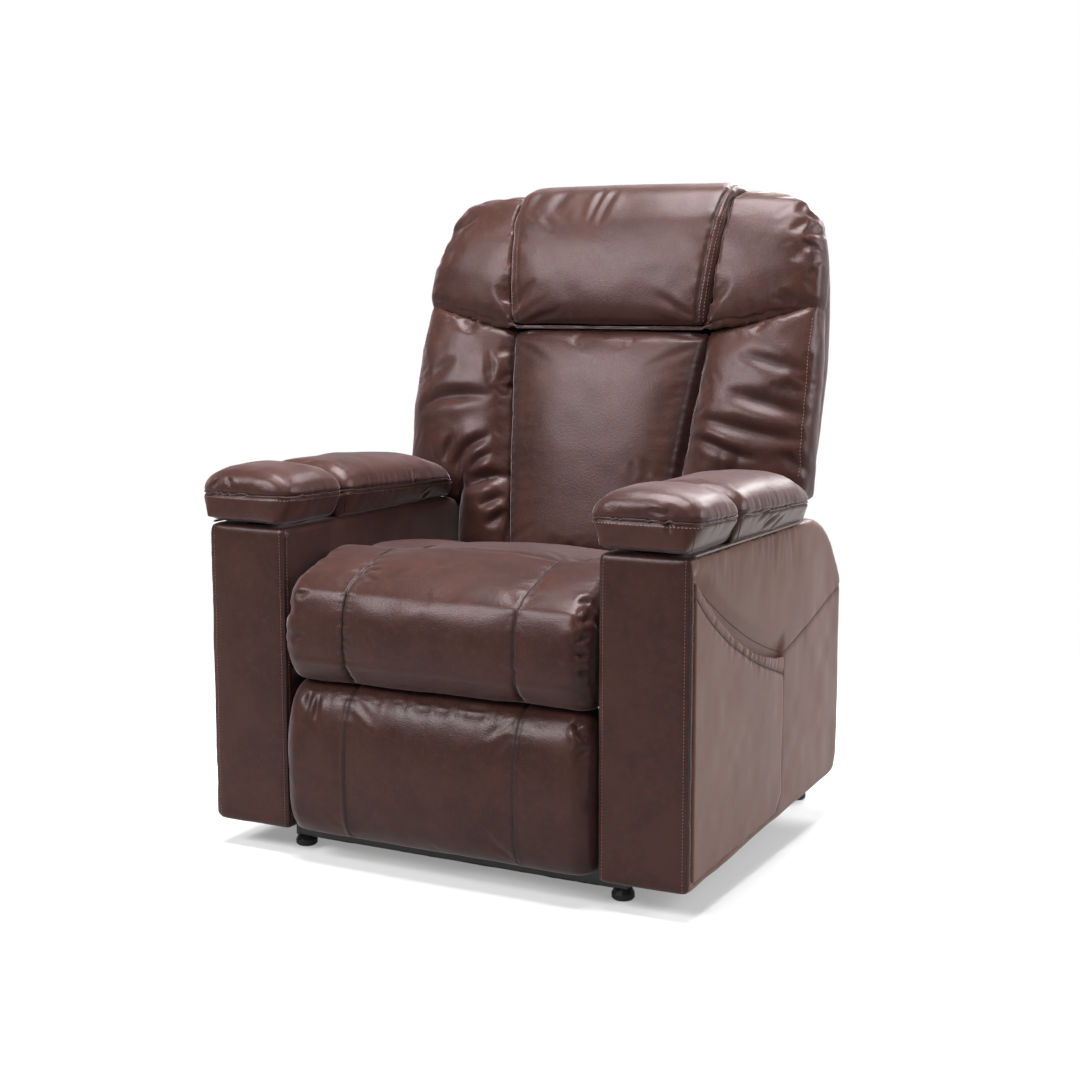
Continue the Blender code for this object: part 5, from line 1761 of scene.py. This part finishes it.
@dataclass
class Armrest:
    """Box arm in a sewn cover, with its side pocket, fixed pad and short pad on the lid."""

    side: Side
    seam_front: float = 0.594
    seam_rear: float = 0.578
    pad_rear: float = 0.082
    pad_middle: float = 0.355
    edge: float = 0.0025
    top_seam: float = 0.537
    tape_height: float = 0.5452
    mouth_edge: Outline = ((0.004, 0.521), (0.073, 0.472), (0.169, 0.418), (0.276, 0.372), (0.384, 0.338))
    hem_top: Outline = ((0.016, 0.502), (0.073, 0.462), (0.169, 0.409), (0.276, 0.364), (0.379, 0.331))
    hem_foot: Outline = ((0.016, 0.484), (0.073, 0.440), (0.160, 0.390), (0.270, 0.342), (0.379, 0.306))
    diagonal: Outline = ((0.386, 0.340), (0.480, 0.362), (0.580, 0.388), (0.664, 0.411))
    rear_seam: Outline = ((0.3835, 0.328), (0.3835, 0.250), (0.3835, 0.160), (0.3830, 0.108))

    pad_folds: dict[tuple[str, Side], tuple[Fold, ...]] = field(default_factory=lambda: {
        ("arm_pad", Side.LEFT): (
            (((760, 530), (769, 521), (779, 513)), 0.0030, 0.004),
            (((766, 532), (776, 522), (786, 513)), 0.0022, 0.004),
            (((757, 521), (765, 514), (772, 509)), 0.0020, 0.004)),
        ("arm_pad", Side.RIGHT): (
            (((411, 505), (420, 498), (431, 490)), 0.0024, 0.004),
            (((414, 470), (414, 477), (415, 483)), 0.0028, 0.004)),
        ("lid_pad", Side.LEFT): (
            (((664, 519), (668, 526), (671, 534)), 0.0030, 0.004),
            (((648, 508), (655, 512), (668, 515)), 0.0020, 0.004)),
        ("lid_pad", Side.RIGHT): (
            (((226, 477), (229, 482), (229, 488)), 0.0022, 0.004),
            (((219, 478), (214, 484), (211, 490)), 0.0025, 0.004))})

    def x(self, value: float) -> float:
        """Turn a distance from the middle of the chair into this side's x."""
        return self.side.value * value

    def seam_height(self, y: float) -> float:
        """Height of the pads' welt."""
        share = (y - ARM_FRONT) / (self.pad_rear - ARM_FRONT)
        return self.seam_front + share * (self.seam_rear - self.seam_front)

    def corner(self, x: float) -> Array:
        """Line up a front corner of the box."""
        heights = np.linspace(0.050, ARM_TOP - 0.004, 110)
        return np.array([(self.x(x), ARM_FRONT + self.edge, z) for z in heights])

    def side_line(self, guides: Sequence[tuple[float, float]]) -> Array:
        """Smooth line on the outer side, through (distance from the front, height) guides."""
        return curve_through([(self.x(ARM_OUTER), ARM_FRONT + y, z) for y, z in guides])

    def box(self, workshop: Workshop) -> None:
        """The arm's box.

        Args:
            workshop: has the finishes and the sewing kit.
        """
        tag = self.side.tag
        # sideways and rear faces wear the lighter copy of the leather: painted light
        work = Upholstery(f"arm_cover_{tag}", f"arm_{tag}", "seat", "leather_brown", Finish.FRONT,
                          panels=Finish.SIDE, voxel=0.0065, smooth=2)
        cover = Cover(work.form())
        corner_out, corner_in = self.corner(ARM_OUTER - self.edge), self.corner(ARM_INNER + self.edge)
        top = self.side_line([(y, self.top_seam) for y in (0.010, 0.15, 0.30, 0.46)])
        details: list[Detail] = [
            Billow(0.0013, 0.11, 101 + self.side.value),
            Seam(Line(corner_out), depth=-0.0016, width=0.0050, pucker=0.0016, reach=0.014,
                 pitch=0.013, dark=0.0, seed=103),
            Seam(Line(corner_in), depth=-0.0012, width=0.0045, pucker=0.0014, reach=0.012,
                 pitch=0.014, dark=0.0, seed=104),
            Seam(Line(cover.laid(top)), depth=0.0, width=0.004, pucker=0.0018, reach=0.035,
                 pitch=0.019, dark=0.0, seed=105),
            Seam(Line(cover.laid(self.side_line(self.diagonal))), depth=0.0014, width=0.0035,
                 pucker=0.0006, reach=0.012, pitch=0.020, dark=0.4, seed=106)]
        dressed(work.piece, details)
        work.done(workshop)
        finished = Cover(work.piece)
        rows = []
        for corner, sideways in ((corner_out, 1), (corner_in, -1)):
            shift = self.side.value * sideways
            for step in ((-0.0075 * shift, 0.0, 0.0), (0.004 * shift, 0.006, 0.0)):
                rows.append(finished.laid(corner + np.array(step), lift=0.0003))
        workshop.sew(f"arm_stitches_{tag}", "seat", rows, pitch=0.0052, length=0.0038,
                     thickness=0.0011)
        sides = [self.side_line(line) for line in (self.diagonal, self.mouth_edge, self.rear_seam)]
        # near-black cord in the seam lines of the box: painted shade
        workshop.seam(f"arm_seams_{tag}", "seat", "leather_brown",
                      [finished.laid(line) for line in (corner_out, corner_in, *sides)])
        tape = self.side_line([(y, self.tape_height) for y in (0.014, 0.16, 0.32, 0.455)])
        sunk = np.array([self.x(0.0006), 0.0, 0.0])
        workshop.cord(f"arm_tape_{tag}", "seat", [tape - sunk], 0.0019, Finish.TAPE)

    def pocket(self, workshop: Workshop) -> None:
        """Side pocket with a gathered hem.

        Args:
            workshop: has the finishes and the sewing kit.
        """
        tag = self.side.tag
        # the pocket wears the lighter copy of the leather: painted light
        work = Upholstery(f"pocket_cover_{tag}", f"pocket_{tag}", "seat", "leather_brown", Finish.SIDE,
                          voxel=0.0028, smooth=2, fine=0)
        cover = Cover(work.form())
        hem, foot = (cover.laid(self.side_line(line)) for line in (self.hem_top, self.hem_foot))
        count = min(len(hem), len(foot))
        band = (hem[:count] + foot[:count]) / 2
        rear = band[band[:, 1] > ARM_FRONT + 0.13]
        details: list[Detail] = [
            Billow(0.0009, 0.08, 111),
            Seam(Line(foot), depth=0.0016, width=0.0030, pucker=0.0010, reach=0.012, pitch=0.012,
                 dark=0.5, seed=112),
            Seam(Line(rear), depth=0.0, width=0.002, pucker=0.0026, reach=0.011, pitch=0.0085,
                 dark=0.0, seed=113),
            Seam(Line(band), depth=0.0, width=0.002, pucker=0.0012, reach=0.012, pitch=0.013,
                 dark=0.0, seed=114)]
        dressed(work.piece, details)
        work.done(workshop)
        finished = Cover(work.piece)
        # near-black cord in the hem seam: painted shade
        workshop.seam(f"pocket_seams_{tag}", "seat", "leather_brown", [finished.laid(foot)], 0.0007)

    def ring(self, cover: Cover, middle: float, count: int = 150) -> Array:
        """Find the line round a pad at the height of its welt.

        Args:
            cover: the pad's surface.
            middle: y of its middle.
            count: how many points the line has.

        Returns:
            The points.
        """
        rows = []
        x0, y0 = self.x(self.pad_middle), middle
        for angle in np.linspace(0.0, 2 * math.pi, count):
            dx, dy = math.cos(angle), math.sin(angle)
            y = y0
            for _ in range(3):
                z = self.seam_height(y)
                hit = cover.seen([(x0 + dx * 0.5, y0 + dy * 0.5, z)], [(x0, y0, z)])
                if len(hit):
                    y = hit[0][1]
            rows += list(hit)
        return np.array(rows)

    def firm(self, points: Array, normals: Array) -> Array:
        """Hold a pad underneath and along its welt.

        Args:
            points: vertices of the skin.
            normals: their directions.

        Returns:
            How firmly each is held.
        """
        height = self.seam_height(points[:, 1])
        held = np.where((normals[:, 2] < -0.5) | (points[:, 2] < ARM_TOP + 0.008), 1.0, 0.0)
        return np.maximum(held, SEWN * (np.abs(points[:, 2] - height) < 0.004))

    def pad(self, workshop: Workshop, node: str, body: str, middle: float) -> None:
        """One stuffed pad with its welt and stitching.

        Args:
            workshop: has the finishes and the sewing kit.
            node: name of its solid, without the side.
            body: what it rides on.
            middle: y of its middle.
        """
        tag = self.side.tag
        work = Upholstery(f"{node}_cover_{tag}", f"{node}_{tag}", body, "leather_pad", Finish.PAD,
                          Stuffing(voxel=0.005, inset=0.003, free=(0.0, 0.0, 1.0), overlap=0.0, fill=0.7,
                                   cap=0.010))
        cover = Cover(work.form(self.firm))
        welt = self.ring(cover, middle)
        above = welt + np.array([0.0, 0.0, 0.010])
        details: list[Detail] = [
            Billow(0.0013, 0.07, 121),
            Seam(Line(welt), depth=0.0034, width=0.0040, pucker=0.0008, reach=0.014, pitch=0.012,
                 dark=0.7, seed=123),
            Seam(Line(cover.laid(above)), depth=0.0, width=0.004, pucker=0.0017, reach=0.012,
                 pitch=0.0135, dark=0.0, seed=124)]
        details += EYE.folds(cover, self.pad_folds[node, self.side])
        dressed(work.piece, details)
        work.done(workshop)
        finished = Cover(work.piece)
        workshop.cord(f"{node}_welt_{tag}", body, [finished.laid(welt, lift=0.0006)], 0.0020,
                      Finish.PAD)
        below = finished.laid(welt - np.array([0.0, 0.0, 0.0062]), lift=0.0002)
        workshop.sew(f"{node}_stitches_{tag}", body, [below], Finish.LIGHT_THREAD,
                     pitch=0.0058, length=0.0036, thickness=0.0010)
        # near-black cord up the pad corners: painted shade
        workshop.seam(f"{node}_corner_seams_{tag}", body, "leather_pad",
                      self.corner_lines(finished, f"{node}_{tag}"), 0.0007)

    def corner_lines(self, cover: Cover, node: str) -> list[Array]:
        """Find the lines up the corners of a pad, under its welt.

        Args:
            cover: the pad's surface.
            node: name of its solid.

        Returns:
            The points of each line.
        """
        low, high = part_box(node)
        lines = []
        for y, turn_y in ((low.y, -0.1), (high.y, 0.1)):
            for x, turn_x in ((low.x, -0.1), (high.x, 0.1)):
                out = np.array([turn_x, turn_y, 0.0])
                inner = np.array([x, y, 0.0]) - 0.3 * out
                heights = np.linspace(low.z + 0.006, self.seam_height(y) - 0.004, 14)
                aims = [inner + np.array([0.0, 0.0, z]) for z in heights]
                hit = cover.seen([aim + out for aim in aims], aims)
                if len(hit) > 3:
                    lines.append(hit)
        return lines

    def build(self, workshop: Workshop) -> None:
        """Make all its pieces.

        Args:
            workshop: has the finishes and the sewing kit.
        """
        self.box(workshop)
        self.pocket(workshop)
        self.pad(workshop, "arm_pad", "seat", -0.070)
        self.pad(workshop, "lid_pad", f"lid_{self.side.tag}", -0.318)


@dataclass
class Sleeve:
    """Cloth sleeve round the front tube of the base."""

    voxel: float = 0.0032
    smooth: int = 2

    def build(self, workshop: Workshop) -> None:
        """Make the sleeve.

        Args:
            workshop: has the finishes.
        """
        work = Upholstery("front_sleeve", "front_skirt", "base", "skirt_fabric", Finish.SKIRT,
                          voxel=self.voxel, smooth=self.smooth, fine=0)
        work.form()
        dressed(work.piece, [Billow(0.0008, 0.03, 131)])
        work.done(workshop)


@dataclass
class Mechanism:
    """Steel, drives and boards, which keep their CAD shapes."""

    finishes: dict[str, Finish] = field(default_factory=lambda: {
        "steel_black": Finish.STEEL, "chrome": Finish.CHROME, "black_plastic": Finish.PLASTIC,
        "glide_plastic": Finish.GLIDE, "plywood": Finish.WOOD, "leather_brown": Finish.FRONT,
        "leather_pad": Finish.PAD, "leather_rear": Finish.REAR, "skirt_fabric": Finish.SKIRT})

    def build(self, workshop: Workshop) -> None:
        """Give each node the finish of its slot.

        Args:
            workshop: has the finishes.
        """
        for name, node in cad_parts.items():
            for slot in node.material_slots:
                slot.material = workshop.materials[self.finishes[slot.material.name.split(".")[0]]]
            LOG.info("%s: dressed", name)


@dataclass
class Studio:
    """Pale floor, soft light and the camera."""

    focal: float = 59.61
    shift: tuple[float, float] = (-0.0022, 0.0114)
    ambient: float = 0.12
    floor_half: float = 12.0
    floor_seen: Colour = (0.80, 0.80, 0.80)
    floor_lit: Colour = (0.42, 0.42, 0.42)
    aim: Place = (0.0, 0.0, 0.5)
    lamps: tuple[tuple[str, Place, float, float], ...] = (  # name, place, size and power
        ("front_left", (-1.8, -3.1, 2.9), 1.5, 200.0),
        ("overhead", (0.0, -0.2, 3.3), 1.7, 230.0),
        ("rear_top", (0.2, 2.6, 2.4), 1.5, 110.0),
        ("right_rear", (3.3, 1.3, 1.9), 1.7, 96.0),
        ("right_front", (2.6, -2.0, 2.6), 1.0, 16.0))

    def floor(self) -> None:
        """Large pale floor that the camera sees as white away from the shadow."""
        mesh = bpy.data.meshes.new("floor")
        half = self.floor_half
        mesh.from_pydata([(-half, -half, 0), (half, -half, 0), (half, half, 0), (-half, half, 0)], [],
                         [(0, 1, 2, 3)])
        plane = linked("floor", mesh)
        t = ShaderTree("floor_paint")
        away = t.node("ShaderNodeVectorMath", {"operation": "LENGTH"}, {0: t.place()}, "Value")
        camera, glossy, through = (t.node("ShaderNodeLightPath", output=f"Is {kind} Ray")
                                   for kind in ("Camera", "Glossy", "Transmission"))
        t.set(Base_Color=t.blend(camera, self.floor_lit, self.floor_seen), Roughness=0.9)
        white = t.nodes.new("ShaderNodeEmission")
        mixed = t.nodes.new("ShaderNodeMixShader")
        share = (camera + glossy * 0.4 + through).clamp()
        t.feed(mixed.inputs[0], share * (away.band(0.55, 2.1) * 0.72 + 0.28))
        t.links.new(t.shader.outputs[0], mixed.inputs[1])
        t.links.new(white.outputs[0], mixed.inputs[2])
        t.links.new(mixed.outputs[0], t.nodes["Material Output"].inputs["Surface"])
        plane.data.materials.append(t.material)

    @staticmethod
    def point(item: bpy.types.Object, place: Place, way: Vector) -> None:
        """Put a lamp or camera at a place, looking that way."""
        item.matrix_world = Matrix.Translation(place) @ way.to_track_quat("-Z", "Y").to_matrix().to_4x4()

    def lamp(self, name: str, place: Place, size: float, power: float) -> None:
        """Hang a square soft lamp that points at the chair.

        Args:
            name: its name.
            place: where it hangs.
            size: length of its side.
            power: in watts.
        """
        light = bpy.data.lights.new(name, "AREA")
        light.shape = "SQUARE"
        light.size, light.energy = size, power
        self.point(linked(name, light), place, Vector(self.aim) - Vector(place))

    def world(self) -> None:
        """Plain light from all round, seen as white."""
        world = bpy.data.worlds.new("studio")
        bpy.context.scene.world = world
        world.use_nodes = True
        nodes, links = world.node_tree.nodes, world.node_tree.links
        shade = nodes["Background"]
        shade.inputs["Color"].default_value = (1.0, 1.0, 1.0, 1.0)
        rays = nodes.new("ShaderNodeLightPath")
        seen = nodes.new("ShaderNodeMath")
        seen.operation = "MAXIMUM"
        links.new(rays.outputs["Is Camera Ray"], seen.inputs[0])
        links.new(rays.outputs["Is Transmission Ray"], seen.inputs[1])
        strength = nodes.new("ShaderNodeMapRange")
        links.new(seen.outputs[0], strength.inputs["Value"])
        strength.inputs["To Min"].default_value = self.ambient
        strength.inputs["To Max"].default_value = 1.0
        links.new(strength.outputs["Result"], shade.inputs["Strength"])

    def camera(self) -> None:
        """Camera at the photograph's place."""
        data = bpy.data.cameras.new("camera")
        data.lens, data.sensor_width = self.focal, 36.0
        data.shift_x, data.shift_y = self.shift
        camera = linked("camera", data)
        self.point(camera, EYE.place, Vector(EYE.aim))
        bpy.context.scene.camera = camera

    def build(self) -> None:
        """Set everything up."""
        self.floor()
        self.world()
        for lamp in self.lamps:
            self.lamp(*lamp)
        self.camera()
        bpy.context.scene.view_settings.view_transform = "Standard"


def main() -> None:
    """Build the chair's pieces in order and the studio round it."""
    logging.basicConfig(level=logging.INFO, format="%(message)s")
    workshop = Workshop()
    Mechanism().build(workshop)
    Sleeve().build(workshop)
    Seat().build(workshop)
    Footrest().build(workshop)
    Backrest().build(workshop)
    for side in Side:
        Armrest(side).build(workshop)
    Studio().build()


if __name__ == "__main__":
    main()
